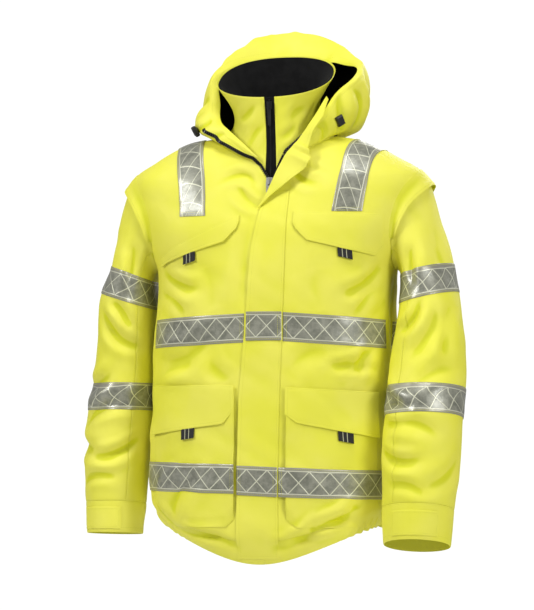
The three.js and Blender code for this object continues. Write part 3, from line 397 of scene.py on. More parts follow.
def ripple(place, size):
    total = np.zeros(place.shape[:-1])
    for wave in RIPPLES:
        length, way, phase, share = wave.values()
        turned = (way[1], way[2], way[0])
        swing = 1.3 * np.sin(place @ np.array(turned) * 2 * math.pi / (length * 1.7))
        total = total + size * share * np.sin(place @ np.array(way) * 2 * math.pi / length + phase + swing)
    return total


# The body surface
body_columns = columns_of(BODY, "v")


def ring(row, angle):
    """A superellipse section at angles in degrees, 0 at the front and 90 at the wearer's left."""
    s, c = sine(angle), cosine(angle)
    reach = np.where(c > 0, row["deep"], row["rear"])
    radius = (np.abs(s / row["half"]) ** SQUARENESS + np.abs(c / reach) ** SQUARENESS) ** (-1 / SQUARENESS)
    height = mix(np.where(c > 0, row["front"], row["back"]), row["side"], s * s)
    return stack(row["shift"] + radius * s, -radius * c, height)


def body_row(v):
    return row_at(body_columns, v)


ROUND = np.arange(-180, 181, 2.0)
ROUND_LENGTH = run_length(ring(body_row(np.full(ROUND.shape, 0.4)), ROUND))
BODY_GIRTH = ROUND_LENGTH[-1]
ROUND_LENGTH = ROUND_LENGTH - np.interp(0, ROUND, ROUND_LENGTH)


def way_round(angle):
    return np.interp((np.asarray(angle, float) + 180) % 360 - 180, ROUND, ROUND_LENGTH)


HEM_PUFF = dict(v=0.075, wide=0.035, out=3.5)


def body(angle, v):
    """The body's cloth at angles round it and sections v, from 0 at the hem to 1 at the neck."""
    angle, v = floats(angle, v)
    p = ring(body_row(v), angle)
    out = folds(BODY_FOLDS, way_round(angle), p[..., 2], BODY_GIRTH)
    still = smooth(v, 0.0, 0.08) * smooth(1 - v, 0.0, 0.06)  # none at the hem and the neck's seam
    puff = HEM_PUFF["out"] * np.exp(-(((v - HEM_PUFF["v"]) / HEM_PUFF["wide"]) ** 2)) * smooth(v, 0, 0.05)
    out = (out + ripple(p, RIPPLE["body"])) * still + puff
    return p + outwards(angle) * out[..., None]


def surface_normal(surface, a, b, steps, limits):
    a, b = floats(a, b)
    up = np.minimum(b + steps[1], limits[1])
    down = np.maximum(b - steps[1], limits[0])
    around = surface(a + steps[0], b) - surface(a - steps[0], b)
    return unit(np.cross(around, surface(a, up) - surface(a, down)))


def body_normal(angle, v):
    return surface_normal(body, angle, v, (0.5, 0.002), (0, 1))


def on_body(angle, v):
    return body(angle, v), body_normal(angle, v)


def angle_at_x(x, v, back=False):
    """The angle at which section v of the body's front, or back, is at x."""
    row = body_row(v)
    x, _ = floats(x, v)

    def angle_of(turn):
        return 180 - turn if back else turn

    end = np.full(x.shape, 90.0)
    return angle_of(halved(-end, end, 24, lambda turn: ring(row, angle_of(turn))[..., 0] < x))


def body_at(x, z, back=False):
    """The angle and the section at which the body's front, or back, is at (x, z)."""
    x, z = floats(x, z)
    start = np.zeros(x.shape)
    v = halved(start, start + 1, 20, lambda v: ring(body_row(v), angle_at_x(x, v, back))[..., 2] < z)
    return angle_at_x(x, v, back), v


# Sleeves
def armhole_place(sign, turn):
    v = mix(ARMHOLE["bottom"], ARMHOLE["top"], (1 + cosine(turn)) / 2)
    return sign * (90 - ARMHOLE["spread"] * sine(turn)), v


def armhole_frame(sign, turn):
    """The seam's point, its way towards the arm and the cloth's outward normal."""
    angle, v = armhole_place(sign, turn)
    start = body(angle, v)
    along = body(*armhole_place(sign, turn + 2)) - body(*armhole_place(sign, turn - 2))
    normal = body_normal(angle, v)
    away = unit(np.cross(along, normal))
    middle = body(sign * 90.0, (ARMHOLE["top"] + ARMHOLE["bottom"]) / 2)
    flip = np.where(np.sum(away * (middle - start), axis=-1) < 0, -1.0, 1.0)
    return start, away * flip[..., None], normal


SLEEVE_GIRTH = 2 * math.pi * 66
# How strongly the sleeve's head leaves the seam and how it meets the first ring, on top and below
HEAD_LAUNCH = (150, 60)
HEAD_LAND = (0.3, 0.12)
HEAD_STEP = 0.02


def sleeve_surface(sign, rings, creases):
    columns = columns_of(rings, "t")
    first = rings[0]["t"]

    def tube(t, turn):
        row = row_at(columns, t)
        forward = -sine(turn) * row["along"]
        x = row["x"] + sign * cosine(turn) * row["across"]
        return stack(x, row["y"] + forward, row["z"] - row["tilt"] * forward)

    def surface(turn, t):
        turn, t = floats(turn, t)
        start, away, _ = armhole_frame(sign, turn)
        start = start + away * SEAM
        end = tube(np.full(turn.shape, first), turn)
        low = (1 - cosine(turn)) / 2
        high = 1 - low
        launch = away * high[..., None] + stack(sign * (0.25 + low), 0 * low, -0.85 * high)
        launch = unit(launch) * mix(*HEAD_LAUNCH, low)[..., None]
        land = tube(np.full(turn.shape, first + HEAD_STEP), turn) - end
        land = land * (mix(*HEAD_LAND, low) / HEAD_STEP)[..., None]
        head = hermite(np.clip(t / first, 0, 1)[..., None], 1, start, launch, end, land)
        p = np.where((t >= first)[..., None], tube(np.maximum(t, first), turn), head)
        still = smooth(t, 0.0, 0.06) * smooth(1 - t, 0.02, 0.14)
        out = folds(creases, turn / 360 * SLEEVE_GIRTH, p[..., 2], SLEEVE_GIRTH)
        out = (out + ripple(p, RIPPLE["sleeve"])) * still
        return p + stack(sign * cosine(turn), -sine(turn), 0 * turn) * out[..., None]

    return surface


def sleeve_normal(surface, sign, turn, t):
    turn, t = floats(turn, t)
    around = surface(turn + 1, t) - surface(turn - 1, t)
    down = surface(turn, np.minimum(t + 0.004, 1)) - surface(turn, np.maximum(t - 0.004, 0))
    normal = unit(np.cross(around, down)) * sign
    low = (1 - cosine(turn)) / 2
    _, _, seam = armhole_frame(sign, turn)
    at_seam = unit(seam * (1 - 0.5 * low)[..., None] + stack(0 * low, 0 * low, -low))
    blend = smooth(t, 0.0, 0.012)[..., None]
    return unit(mix(at_seam, normal, blend))


# Collar and hood
COLLAR_REACH = dict(down=5, v=0.078, wide=50)
V_INSET = 5.2
COLLAR_GIRTH = 600
collar_middle = float(angle_at_x(CENTRE_FRONT_X, 1.0))


def apart(a, b):
    turn = np.abs(a - b) % 360
    return np.minimum(turn, 360 - turn)


def collar_ring(row, angle):
    p = ring({**row, "side": 0}, angle)
    share = (p[..., 1] + row["deep"]) / (row["deep"] + row["rear"])
    p[..., 2] = mix(row["front"], row["back"], share)
    return p


def offset(angle, v, out):
    return body(angle, v) + body_normal(angle, v) * out


def collar(angle, b):
    """The collar's cloth: b runs from 0 to 1 down in the V, and from 1 at the neck's seam to 2 at the rim."""
    angle, b = floats(angle, b)
    seam = offset(angle, 1.0, -2.0)
    seam[..., :2] *= (1 - 0.6 / np.hypot(seam[..., 0], seam[..., 1]))[..., None]
    frontness = smooth(COLLAR_REACH["wide"] - apart(angle, collar_middle), 0, 24)[..., None]
    seam = mix(seam, offset(angle, 1.0, -V_INSET), frontness)
    below = np.clip(1 - b, 0, 1)
    straight = seam - stack(0 * b, 0 * b, COLLAR_REACH["down"] * below)
    bib = mix(straight, offset(angle, 1 - COLLAR_REACH["v"] * below, -V_INSET), frontness)
    s = np.clip(b - 1, 0, 1)[..., None]
    waist, rim = collar_ring(COLLAR_WAIST, angle), collar_ring(COLLAR_RIM, angle)
    stand = seam * (1 - s) * (1 - 2 * s) + waist * 4 * s * (1 - s) + rim * s * (2 * s - 1)
    p = np.where((b <= 1)[..., None], bib, stand)
    u = (angle - collar_middle) / 360 * COLLAR_GIRTH
    u = (u + COLLAR_GIRTH / 2) % COLLAR_GIRTH - COLLAR_GIRTH / 2
    still = smooth(b, 1.0, 1.2) * smooth(2 - b, 0.03, 0.3)
    out = (folds(COLLAR_FOLDS, u, p[..., 2]) * COLLAR_SHARE + ripple(p, RIPPLE["collar"])) * still
    return p + outwards(angle) * out[..., None]


def on_collar(angle, b):
    return collar(angle, b), surface_normal(collar, angle, b, (0.6, 0.012), (0, 2))


HOOD_ROWS = dict(low=0.26, high=0.55, top=0.88, tuck=1.0)
HOOD_KEYS = np.array([0.0, *HOOD_ROWS.values()])
hood_columns = {(name, k): column(HOOD, "angle", name, k) for name in HOOD_ROWS for k in (0, 1)}
HOOD_ENDS = (HOOD[0]["angle"], HOOD[-1]["angle"])


def hood(angle, b):
    """The hood's cloth: b runs from 0 at the neck to 1 at the edge that is tucked in."""
    angle, b = floats(angle, b)
    base = ring(body_row(np.ones(angle.shape)), angle)
    i = np.clip(np.searchsorted(HOOD_KEYS, b, side="right") - 1, 0, len(HOOD_KEYS) - 2)
    span = HOOD_KEYS[i + 1] - HOOD_KEYS[i]
    s = np.clip((b - HOOD_KEYS[i]) / span, 0, 1)
    before, after = neighbours(len(HOOD_KEYS))
    gap = (HOOD_KEYS[after] - HOOD_KEYS[before]).reshape((-1,) + (1,) * angle.ndim)

    def between(first, part):
        levels = np.stack([first] + [hood_columns[name, part](angle) for name in HOOD_ROWS])
        slopes = (levels[after] - levels[before]) / gap
        ends = [np.take_along_axis(rows, k[None], axis=0)[0] for k in (i, i + 1) for rows in (levels, slopes)]
        return hermite(s, span, *ends)

    radius = between(np.hypot(base[..., 0], base[..., 1]), 0)
    p = stack(radius * sine(angle), -radius * cosine(angle), between(base[..., 2] + 0.5, 1))
    ends = np.minimum(angle - HOOD_ENDS[0], HOOD_ENDS[1] - angle)
    still = smooth(b, 0.02, 0.16) * smooth(ends, 0, 30)
    out = folds(HOOD_FOLDS, angle * HOOD_GIRTH, b * HOOD_HEIGHT) * HOOD_SHARE
    out = (out + ripple(p, RIPPLE["hood"])) * still
    return p + hood_way(angle, b) * out[..., None]


def hood_way(angle, b):
    """The rough way out of the hood's cloth, which turns up and over towards its top."""
    lean = smooth(b, 0.55, 0.95) * 1.1
    return stack(sine(angle) * np.cos(lean), -cosine(angle) * np.cos(lean), np.sin(lean))


def on_hood(angle, b):
    return hood(angle, b), surface_normal(hood, angle, b, (0.8, 0.01), (0, 1))


# Cloth pieces: a wall between an outer and an inner sheet, with rounded edges
EDGE_LINES = (0.6, 1.6, 3.4)


def spaced(length, step):
    """Fractions along a length at even steps, with extra lines close to both ends for the rolled edges."""
    near = [0.0] + [e / length for e in EDGE_LINES if e < length * 0.3]
    count = max(2, int(round((length - 2 * EDGE_LINES[-1]) / step)))
    inner = np.linspace(near[-1], 1 - near[-1], count + 1)[1:-1]
    return np.array(near + list(inner) + [1 - x for x in reversed(near)])


def distances(points):
    """Each grid point's distance in millimetres from the first and last line, both ways."""
    across = np.linalg.norm(np.diff(points, axis=0), axis=-1)
    up = np.linalg.norm(np.diff(points, axis=1), axis=-1)
    i = np.concatenate([np.zeros((1, points.shape[1])), np.cumsum(across, axis=0)])
    j = np.concatenate([np.zeros((points.shape[0], 1)), np.cumsum(up, axis=1)], axis=1)
    return i, j


def grid_faces(columns, rows, closed):
    """Quads over an outer and an inner grid of points and along their rims."""
    i = np.arange(columns if closed else columns - 1)
    j = np.arange(rows - 1)
    ii, jj = np.meshgrid(i, j, indexing="ij")
    top, end = rows - 1, columns - 1

    def quads(*corners):
        places = [layer * columns * rows + (a % columns) * rows + b for layer, a, b in corners]
        return np.stack([place.ravel() for place in places], axis=-1)

    faces = [
        quads((0, ii, jj), (0, ii + 1, jj), (0, ii + 1, jj + 1), (0, ii, jj + 1)),
        quads((1, ii, jj), (1, ii, jj + 1), (1, ii + 1, jj + 1), (1, ii + 1, jj)),
        quads((0, i, 0), (1, i, 0), (1, i + 1, 0), (0, i + 1, 0)),
        quads((0, i, top), (0, i + 1, top), (1, i + 1, top), (1, i, top)),
    ]
    if not closed:
        faces.append(quads((0, 0, j), (0, 0, j + 1), (1, 0, j + 1), (1, 0, j)))
        faces.append(quads((0, end, j), (1, end, j), (1, end, j + 1), (0, end, j + 1)))
    return np.concatenate(faces)


CREASE_REACH = 3


def crease_height(points, normals, closed):
    """How far the cloth stands above what lies a few grid steps away, in millimetres."""
    k = CREASE_REACH
    wide = np.pad(points, ((k, k), (0, 0), (0, 0)), mode="wrap" if closed else "edge")
    tall = np.pad(points, ((0, 0), (k, k), (0, 0)), mode="edge")
    around = (wide[:-2 * k] + wide[2 * k:] + tall[:, :-2 * k] + tall[:, 2 * k:]) / 4
    return np.sum((points - around) * normals, axis=-1)


def quad_mesh(name, points, faces, uv):
    mesh = bpy.data.meshes.new(name)
    mesh.vertices.add(len(points))
    mesh.vertices.foreach_set("co", (points * MM).ravel())
    corners = faces.ravel()
    mesh.loops.add(len(corners))
    mesh.loops.foreach_set("vertex_index", corners)
    mesh.polygons.add(len(faces))
    mesh.polygons.foreach_set("loop_start", 4 * np.arange(len(faces)))
    mesh.update(calc_edges=True)
    mesh.uv_layers.new(name="cut").data.foreach_set("uv", (uv[corners] * MM).ravel())
    return mesh


def add_piece(name, mesh, finish, sharp=48):
    """Puts a mesh on the jacket's body, smooth but for its sharp edges."""
    mesh.polygons.foreach_set("use_smooth", np.ones(len(mesh.polygons), bool))
    mesh.set_sharp_from_angle(angle=math.radians(sharp))
    mesh.materials.append(finish)
    obj = bpy.data.objects.new(name, mesh)
    bpy.context.collection.objects.link(obj)
    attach(obj, "root")
    return obj


# The flat cut of each piece: width and length of the rectangle round it, and its share of that rectangle.
# The first table has the pairs, right and then left.
PAIR_CUTS = {
    "{}_front_cloth": ((300, 750, 0.92), (285, 750, 0.91)),
    "hem_casing_{}_cloth": ((305, 40, 0.98), (280, 40, 0.95)),
    "chest_tab_{}_webbing": ((24, 26, 0.9), (24, 26, 0.9)),
    "lower_tab_{}_webbing": ((24, 26, 0.9), (24, 26, 0.9)),
    "outer_zip_tape_{}_cloth": ((10, 160, 0.56), (10, 185, 0.56)),
    "chest_flap_{}_cloth": ((172, 36, 0.72), (160, 72, 0.83)),
    "lower_pocket_{}_cloth": ((182, 246, 0.97), (176, 240, 0.97)),
    "lower_flap_{}_cloth": ((188, 88, 0.86), (177, 84, 0.85)),
    "chest_band_{}_tape": ((209, 50, 1), (201, 50, 1)),
    "hem_band_{}_tape": ((204, 50, 1), (203, 50, 1)),
    "shoulder_tape_{}_tape": ((600, 50, 1), (590, 50, 1)),
    "{}_sleeve_under_cloth": ((130, 540, 0.77), (134, 560, 0.77)),
    "{}_sleeve_upper_cloth": ((290, 560, 0.9), (300, 580, 0.92)),
    "{}_cuff_cloth": ((340, 58, 0.95), (380, 64, 0.96)),
    "{}_cuff_facing": ((335, 46, 0.95), (375, 51, 0.95)),
    "{}_cuff_tab_cloth": ((84, 42, 0.97), (88, 45, 0.97)),
    "{}_sleeve_band_upper_tape": ((400, 50, 1), (400, 50, 1)),
    "{}_sleeve_band_lower_tape": ((405, 50, 1), (435, 50, 1)),
    "{}_shoulder_cap_cloth": ((345, 27, 0.88), (345, 27, 0.88)),
}
CUTS = {
    "back_cloth": (590, 760, 0.9),
    "hem_casing_back_cloth": (580, 40, 0.9),
    "storm_flap_cloth": (78, 650, 0.87),
    "flap_turnback_cloth": (190, 40, 0.8),
    "chest_band_flap_tape": (59, 50, 1),
    "chest_band_back_tape": (585, 50, 1),
    "hem_band_flap_tape": (68, 50, 1),
    "hem_band_back_tape": (600, 50, 1),
    "collar_cloth": (640, 150, 0.9),
    "collar_fleece": (625, 130, 0.92),
    "inner_zip_tape_cloth": (18, 172, 1),
    "hood_cloth": (880, 170, 0.88),
    "hood_mesh_lining": (835, 130, 0.89),
}
for piece_name, both_cuts in PAIR_CUTS.items():
    CUTS.update(zip((piece_name.format("right"), piece_name.format("left")), both_cuts))
ROLL = dict(deep=0.7, wide=0.9)
GROOVE_WIDTH = 0.9


def cloth(node, points, normals, low, high, finish, name=None, closed=False, rolled="ijIJ", lift=None,
          seams=(), trim=2.0):
    """A piece of cloth over grid points, from low to high along their normals, in place of a model's node.

    Its seams are rows of stitches along the named sides: (sides, inset, depth of the groove they press).
    """
    name = name or f"{node}_cloth"
    i, j = distances(points)
    ends = {"i": i, "I": i[-1] - i, "j": j, "J": j[:, -1:] - j}
    roll = np.zeros(i.shape)
    for side, distance in ends.items():
        if side in rolled and not (closed and side in "iI"):
            roll = np.maximum(roll, np.exp(-distance / ROLL["wide"]))
    press = np.zeros(i.shape)
    for sides, inset, deep in seams:
        for side in sides:
            press = press + deep * np.exp(-(((ends[side] - inset) / GROOVE_WIDTH) ** 2))
    raised = lift(ends) if lift else np.zeros(i.shape)
    outer = points + normals * (high - ROLL["deep"] * roll - press + raised)[..., None]
    inner = points + normals * (low + raised)[..., None]
    both = np.concatenate([outer.reshape(-1, 3), inner.reshape(-1, 3)])
    uv = np.stack([i, j], axis=-1).reshape(-1, 2)
    mesh = quad_mesh(name, both, grid_faces(*i.shape, closed), np.concatenate([uv, uv]))
    obj = add_piece(name, mesh, finish)
    # The crease height is kept on the mesh as the mask for the shell's painted shade in the troughs of the
    # creases
    crease = crease_height(points, normals, closed).ravel()
    layer = mesh.attributes.new("crease", "FLOAT", "POINT")
    layer.data.foreach_set("value", np.concatenate([crease, -crease]))
    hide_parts(node)
    width, length, share = CUTS[name]
    for sides, inset, _ in seams:
        stitch_lines.extend(line_on(outer, normals, side, ends[side], inset, trim) for side in sides)


def grid_of(columns, rows):
    return np.meshgrid(np.asarray(columns, float), np.asarray(rows, float), indexing="ij")


# Materials, all procedural
class Nodes:
    """Short calls for building one material's nodes."""

    def __init__(self, name):
        self.material = bpy.data.materials.new(name)
        self.material.use_nodes = True
        self.tree = self.material.node_tree
        self.shader = self.tree.nodes["Principled BSDF"]

    def add(self, kind, **settings):
        node = self.tree.nodes.new(kind)
        for name, value in settings.items():
            setattr(node, name, value)
        return node

    def feed(self, socket, value):
        if isinstance(value, bpy.types.NodeSocket):
            self.tree.links.new(value, socket)
        else:
            socket.default_value = value

    def math(self, operation, *values):
        node = self.add("ShaderNodeMath", operation=operation)
        for socket, value in zip(node.inputs, values):
            self.feed(socket, value)
        return node.outputs[0]

    def uv(self):
        node = self.add("ShaderNodeUVMap", uv_map="cut")
        parts = self.add("ShaderNodeSeparateXYZ")
        self.feed(parts.inputs[0], node.outputs[0])
        return parts.outputs[0], parts.outputs[1]

    def noise(self, scale, detail=2.0, roughness=0.5):
        node = self.add("ShaderNodeTexNoise")
        node.inputs["Scale"].default_value = scale
        node.inputs["Detail"].default_value = detail
        node.inputs["Roughness"].default_value = roughness
        self.feed(node.inputs["Vector"], self.add("ShaderNodeTexCoord").outputs["Object"])
        return node.outputs["Fac"]

    def ramp(self, value, low, high, colours):
        node = self.add("ShaderNodeMix", data_type="RGBA")
        span = self.add("ShaderNodeMapRange", interpolation_type="SMOOTHSTEP")
        self.feed(span.inputs["Value"], value)
        span.inputs["From Min"].default_value = low
        span.inputs["From Max"].default_value = high
        self.feed(node.inputs["Factor"], span.outputs[0])
        for socket, colour in zip(("A", "B"), colours):
            sockets = [s for s in node.inputs if s.name == socket and s.type == "RGBA"]
            self.feed(sockets[0], colour if isinstance(colour, bpy.types.NodeSocket) else (*colour, 1))
        return [s for s in node.outputs if s.type == "RGBA"][0]

    def bump(self, height, strength, distance, below=None):
        node = self.add("ShaderNodeBump")
        node.inputs["Strength"].default_value = strength
        node.inputs["Distance"].default_value = distance
        self.feed(node.inputs["Height"], height)
        if below is not None:
            self.feed(node.inputs["Normal"], below)
        return node.outputs[0]

    def set(self, **values):
        for name, value in values.items():
            self.feed(self.shader.inputs[name.replace("_", " ")], value)


def weave(nodes, pitch):
    """Height of a plain weave with the given pitch in metres."""
    u, v = nodes.uv()
    turn = math.pi / pitch
    a = nodes.math("SINE", nodes.math("MULTIPLY", u, turn))
    b = nodes.math("SINE", nodes.math("MULTIPLY", v, turn))
    return nodes.math("MULTIPLY", a, b)


# The shell's yellow, which varies a little, and the painted shade that deepens it in the creases where the
# cloth lies this low, in millimetres
YELLOW = (0.83, 0.795, 0.085)
YELLOW_MIDDLE = (0.80, 0.78, 0.045)
YELLOW_PAINTED_SHADE = (0.70, 0.71, 0.004)
PAINTED_SHADE_DEPTHS = (-1.5, 0.4)


def shell_cloth():
    n = Nodes("shell_cloth")
    patches = n.ramp(n.noise(9, 3), 0.35, 0.65, (YELLOW, YELLOW_MIDDLE))
    # Painted shade: the yellow turns deeper and more saturated in the troughs of the creases, read from the
    # cloth's crease height
    crease = n.add("ShaderNodeAttribute", attribute_name="crease").outputs["Fac"]
    colour = n.ramp(crease, *PAINTED_SHADE_DEPTHS, (YELLOW_PAINTED_SHADE, patches))
    fine = n.bump(weave(n, 0.0007), 0.35, 0.0003)
    crumple = n.bump(n.noise(46, 4, 0.55), 0.16, 0.004, fine)
    n.set(Base_Color=colour, Roughness=0.55, Normal=crumple, Specular_IOR_Level=0.55)
    return n.material


def black_cloth():
    n = Nodes("black_cloth")
    colour = n.ramp(n.noise(60, 4), 0.3, 0.7, ((0.002, 0.002, 0.002), (0.005, 0.005, 0.005)))
    pile = n.bump(n.noise(900, 3, 0.6), 0.5, 0.0006)
    n.set(Base_Color=colour, Roughness=0.95, Normal=pile, Specular_IOR_Level=0.2)
    n.set(Sheen_Weight=0.06, Sheen_Roughness=0.4)
    return n.material


LATTICE = dict(pitch=0.036, line=0.00085, border=0.0055, width=TAPE_WIDTH * MM)


def reflective():
    """Grey film over tiny cells, with welded lines: a zigzag each way between two borders."""
    n = Nodes("reflective_tape")
    u, v = n.uv()
    inner = LATTICE["width"] - 2 * LATTICE["border"]
    rise = n.math("DIVIDE", n.math("SUBTRACT", v, LATTICE["border"]), inner)
    run = n.math("DIVIDE", u, LATTICE["pitch"])
    lines = []
    slope = math.hypot(LATTICE["pitch"], inner) / (LATTICE["pitch"] * inner)
    for operation in ("ADD", "SUBTRACT"):
        phase = n.math("FRACT", n.math(operation, run, rise))
        gap = n.math("ABSOLUTE", n.math("SUBTRACT", phase, 0.5))
        lines.append(n.math("DIVIDE", gap, slope))
    crossing = n.math("MINIMUM", *lines)
    middle = n.math("ABSOLUTE", n.math("SUBTRACT", v, LATTICE["width"] / 2))
    edge = n.math("ABSOLUTE", n.math("SUBTRACT", middle, inner / 2))
    outside = n.math("GREATER_THAN", middle, inner / 2)
    crossing = n.math("ADD", crossing, outside)
    nearest = n.math("MINIMUM", crossing, edge)
    weld = n.add("ShaderNodeMapRange", interpolation_type="SMOOTHSTEP")
    n.feed(weld.inputs["Value"], nearest)
    weld.inputs["From Min"].default_value = LATTICE["line"] * 1.3
    weld.inputs["From Max"].default_value = LATTICE["line"] * 0.5
    grey = n.ramp(n.noise(70, 5, 0.7), 0.3, 0.7, ((0.185, 0.19, 0.15), (0.33, 0.33, 0.265)))
    rim = n.ramp(outside, 0.4, 0.6, (grey, (0.31, 0.30, 0.24)))
    colour = n.ramp(weld.outputs[0], 0.0, 1.0, (rim, (0.66, 0.66, 0.50)))
    cells = n.bump(n.noise(2600, 1, 0.5), 0.25, 0.0002)
    film = n.bump(n.noise(21, 2, 0.45), 0.55, 0.006, cells)
    ridge = n.bump(weld.outputs[0], 0.5, 0.0004, film)
    n.set(Base_Color=colour, Metallic=0.3, Roughness=0.4, Normal=ridge)
    n.set(Coat_Weight=0.36, Coat_Roughness=0.11, Coat_Normal=film, Specular_IOR_Level=0.5)
    return n.material


def plastic(name, colour, roughness):
    n = Nodes(name)
    grain = n.bump(n.noise(1400, 2), 0.2, 0.0002)
    wear = n.ramp(n.noise(40, 4), 0.45, 0.75, (colour, tuple(c * 1.8 + 0.004 for c in colour)))
    n.set(Base_Color=wear, Roughness=roughness, Normal=grain)
    return n.material


def metal():
    n = Nodes("silver_metal")
    colour = n.ramp(n.noise(300, 3), 0.3, 0.8, ((0.62, 0.62, 0.60), (0.38, 0.38, 0.37)))
    brushed = n.bump(n.noise(1200, 2), 0.25, 0.0002)
    n.set(Base_Color=colour, Metallic=1.0, Roughness=0.32, Normal=brushed)
    return n.material


def thread(name, colour):
    n = Nodes(name)
    twist = n.bump(n.noise(3000, 1), 0.4, 0.0002)
    shade = n.ramp(n.noise(200, 2), 0.3, 0.7, (colour, tuple(c * 0.8 for c in colour)))
    n.set(Base_Color=shade, Roughness=0.7, Normal=twist, Sheen_Weight=0.1)
    return n.material


WEB_LINES = (8.2, 15.8)


def webbing():
    """Black pull webbing with two pale woven lines."""
    n = Nodes("pull_webbing")
    u, v = n.uv()
    lines = [n.math("ABSOLUTE", n.math("SUBTRACT", u, at * MM)) for at in WEB_LINES]
    near = n.math("MINIMUM", *lines)
    cross = n.math("SINE", n.math("MULTIPLY", v, math.pi / 0.0011))
    colour = n.ramp(near, 0.00045, 0.0007, ((0.55, 0.55, 0.34), (0.012, 0.012, 0.012)))
    ribs = n.bump(cross, 0.5, 0.0003)
    n.set(Base_Color=colour, Roughness=0.8, Normal=ribs)
    return n.material


SHELL = shell_cloth()
BLACK = black_cloth()
REFLECTIVE = reflective()
WEBBING = webbing()
PLASTIC = plastic("black_plastic", (0.012, 0.012, 0.012), 0.38)
SILVER = metal()
YELLOW_THREAD = thread("yellow_thread", (0.72, 0.72, 0.05))


# Lines along a piece's edges, for stitching and zip teeth
def line_on(points, normals, side, distance, inset, trim):
    """The line on a piece's grid at a distance from one of its sides, with the cloth's normals."""
    if side in "iI":
        distance, points, normals = distance.T, points.swapaxes(0, 1), normals.swapaxes(0, 1)
    if side in "IJ":
        distance, points, normals = distance[:, ::-1], points[:, ::-1], normals[:, ::-1]
    k = np.clip((distance < inset).sum(axis=1), 1, distance.shape[1] - 1)
    rows = np.arange(len(k))
    low, high = distance[rows, k - 1], distance[rows, k]
    s = np.clip((inset - low) / np.maximum(high - low, 1e-6), 0, 1)[:, None]
    way = unit(mix(normals[rows, k - 1], normals[rows, k], s))
    line = mix(points[rows, k - 1], points[rows, k], s)
    run = run_length(line)
    keep = (run >= trim) & (run <= run[-1] - trim)
    return line[keep], way[keep]


def even_steps(line, way, pitch):
    """Places at an even pitch along a line, with their normals and the way the line runs."""
    run = run_length(line)
    count = max(2, int(run[-1] / pitch))
    stops = (np.arange(count) + 0.5) * run[-1] / count

    def at(values, places):
        return np.stack([np.interp(places, run, values[:, k]) for k in range(3)], axis=-1)

    return at(line, stops), unit(at(way, stops)), unit(at(line, stops + 0.6) - at(line, stops - 0.6))


def small_parts(name, lines, pitch, corners, faces, finish, sharp):
    """Copies of a small part, given as (along, aside, out) corners, at an even pitch on many lines."""
    blocks = []
    for line, way in lines:
        if len(line) < 2:
            continue
        place, out, along = even_steps(line, way, pitch)
        aside = np.cross(along, out)
        part = [place + along * a + aside * b + out * c for a, b, c in corners]
        blocks.append(np.stack(part, axis=1).reshape(-1, 3))
    points = np.concatenate(blocks)
    starts = range(0, len(points), len(corners))
    mesh = bpy.data.meshes.new(name)
    copies = [[k + v for v in face] for k in starts for face in faces]
    mesh.from_pydata([tuple(p) for p in points * MM], [], copies)
    add_piece(name, mesh, finish, sharp)


STITCH = dict(pitch=3.5, half=1.25, thick=0.3, high=0.28)
stitch_lines = []


def make_stitches():
    half, thick, high = STITCH["half"], STITCH["thick"], STITCH["high"]
    corners = [(-half, -thick, -0.1), (-half, thick, -0.1), (half, thick, -0.1), (half, -thick, -0.1),
               (-half * 0.5, 0, high), (half * 0.5, 0, high)]
    faces = [(0, 4, 1), (2, 5, 3), (1, 4, 5, 2), (3, 5, 4, 0)]
    small_parts("yellow_stitches", stitch_lines, STITCH["pitch"], corners, faces, YELLOW_THREAD, 180)


# Body panels and hem casing. The two front edges stand this far off the middle at sections up the V.
V_SECTIONS = (0, 0.925, 0.96, 1)
V_EDGES = {"right": (0, 0, -4, -22), "left": (0, 0, 10, 20)}
GATHER = dict(pitch=4.8, reach=46.0, depth=6.6)
SIDE_SEAM_ANGLE = 0.06


def armhole_spread(v):
    middle = (ARMHOLE["top"] + ARMHOLE["bottom"]) / 2
    reach = (ARMHOLE["top"] - ARMHOLE["bottom"]) / 2
    return ARMHOLE["spread"] * np.sqrt(np.maximum(0, 1 - ((v - middle) / reach) ** 2))


def front_edge(side, v):
    gap = SEAM / 2 if side == "left" else -SEAM / 2
    return CENTRE_FRONT_X + gap + np.interp(v, V_SECTIONS, V_EDGES[side])


def panel_rows():
    below = np.linspace(HEM_SEAM, ARMHOLE["bottom"], 118)
    turns = np.linspace(180, 0, 41)[1:-1]
    beside = mix(ARMHOLE["bottom"], ARMHOLE["top"], (1 + cosine(turns)) / 2)
    above = np.linspace(ARMHOLE["top"], 1, 44)
    return np.concatenate([below, beside, above])


def body_panels():
    rows = panel_rows()
    for side, sign in (("right", -1), ("left", 1)):
        a, v = grid_of(spaced(290, 4.6), rows)
        edge = angle_at_x(front_edge(side, v), v)
        seam = sign * (90 - armhole_spread(v) - SIDE_SEAM_ANGLE)
        angle = mix(edge, seam, a) if sign > 0 else mix(seam, edge, a)
        seams = [("i" if side == "left" else "I", 3.0, 0), ("j", 1.6, 0)]
        cloth(f"{side}_front", *on_body(angle, v), -CLOTH, 0, SHELL, seams=seams)
    a, v = grid_of(spaced(580, 4.8), rows)
    open_by = armhole_spread(v) + SIDE_SEAM_ANGLE
    angle = mix(90 + open_by, 270 - open_by, a)
    cloth("back_panel", *on_body(angle, v), -CLOTH, 0, SHELL, name="back_cloth",
          seams=[("j", 1.6, 0), ("iI", 1.8, 0)])


def gather_at(angle):
    from_side = np.minimum(apart(angle, 90), apart(angle, 270))
    strength = smooth(GATHER["reach"] - from_side, 0, GATHER["reach"] * 0.6)
    wander = 0.75 + 0.25 * sine(angle * 7.3 + 40) + 0.2 * sine(angle * 17.1)
    phase = 360 * angle / GATHER["pitch"] + 38 * sine(angle * 9.1)
    uneven = 0.8 + 0.5 * sine(angle * 3.7 + 80)
    return GATHER["depth"] * strength * wander * uneven * sine(phase)


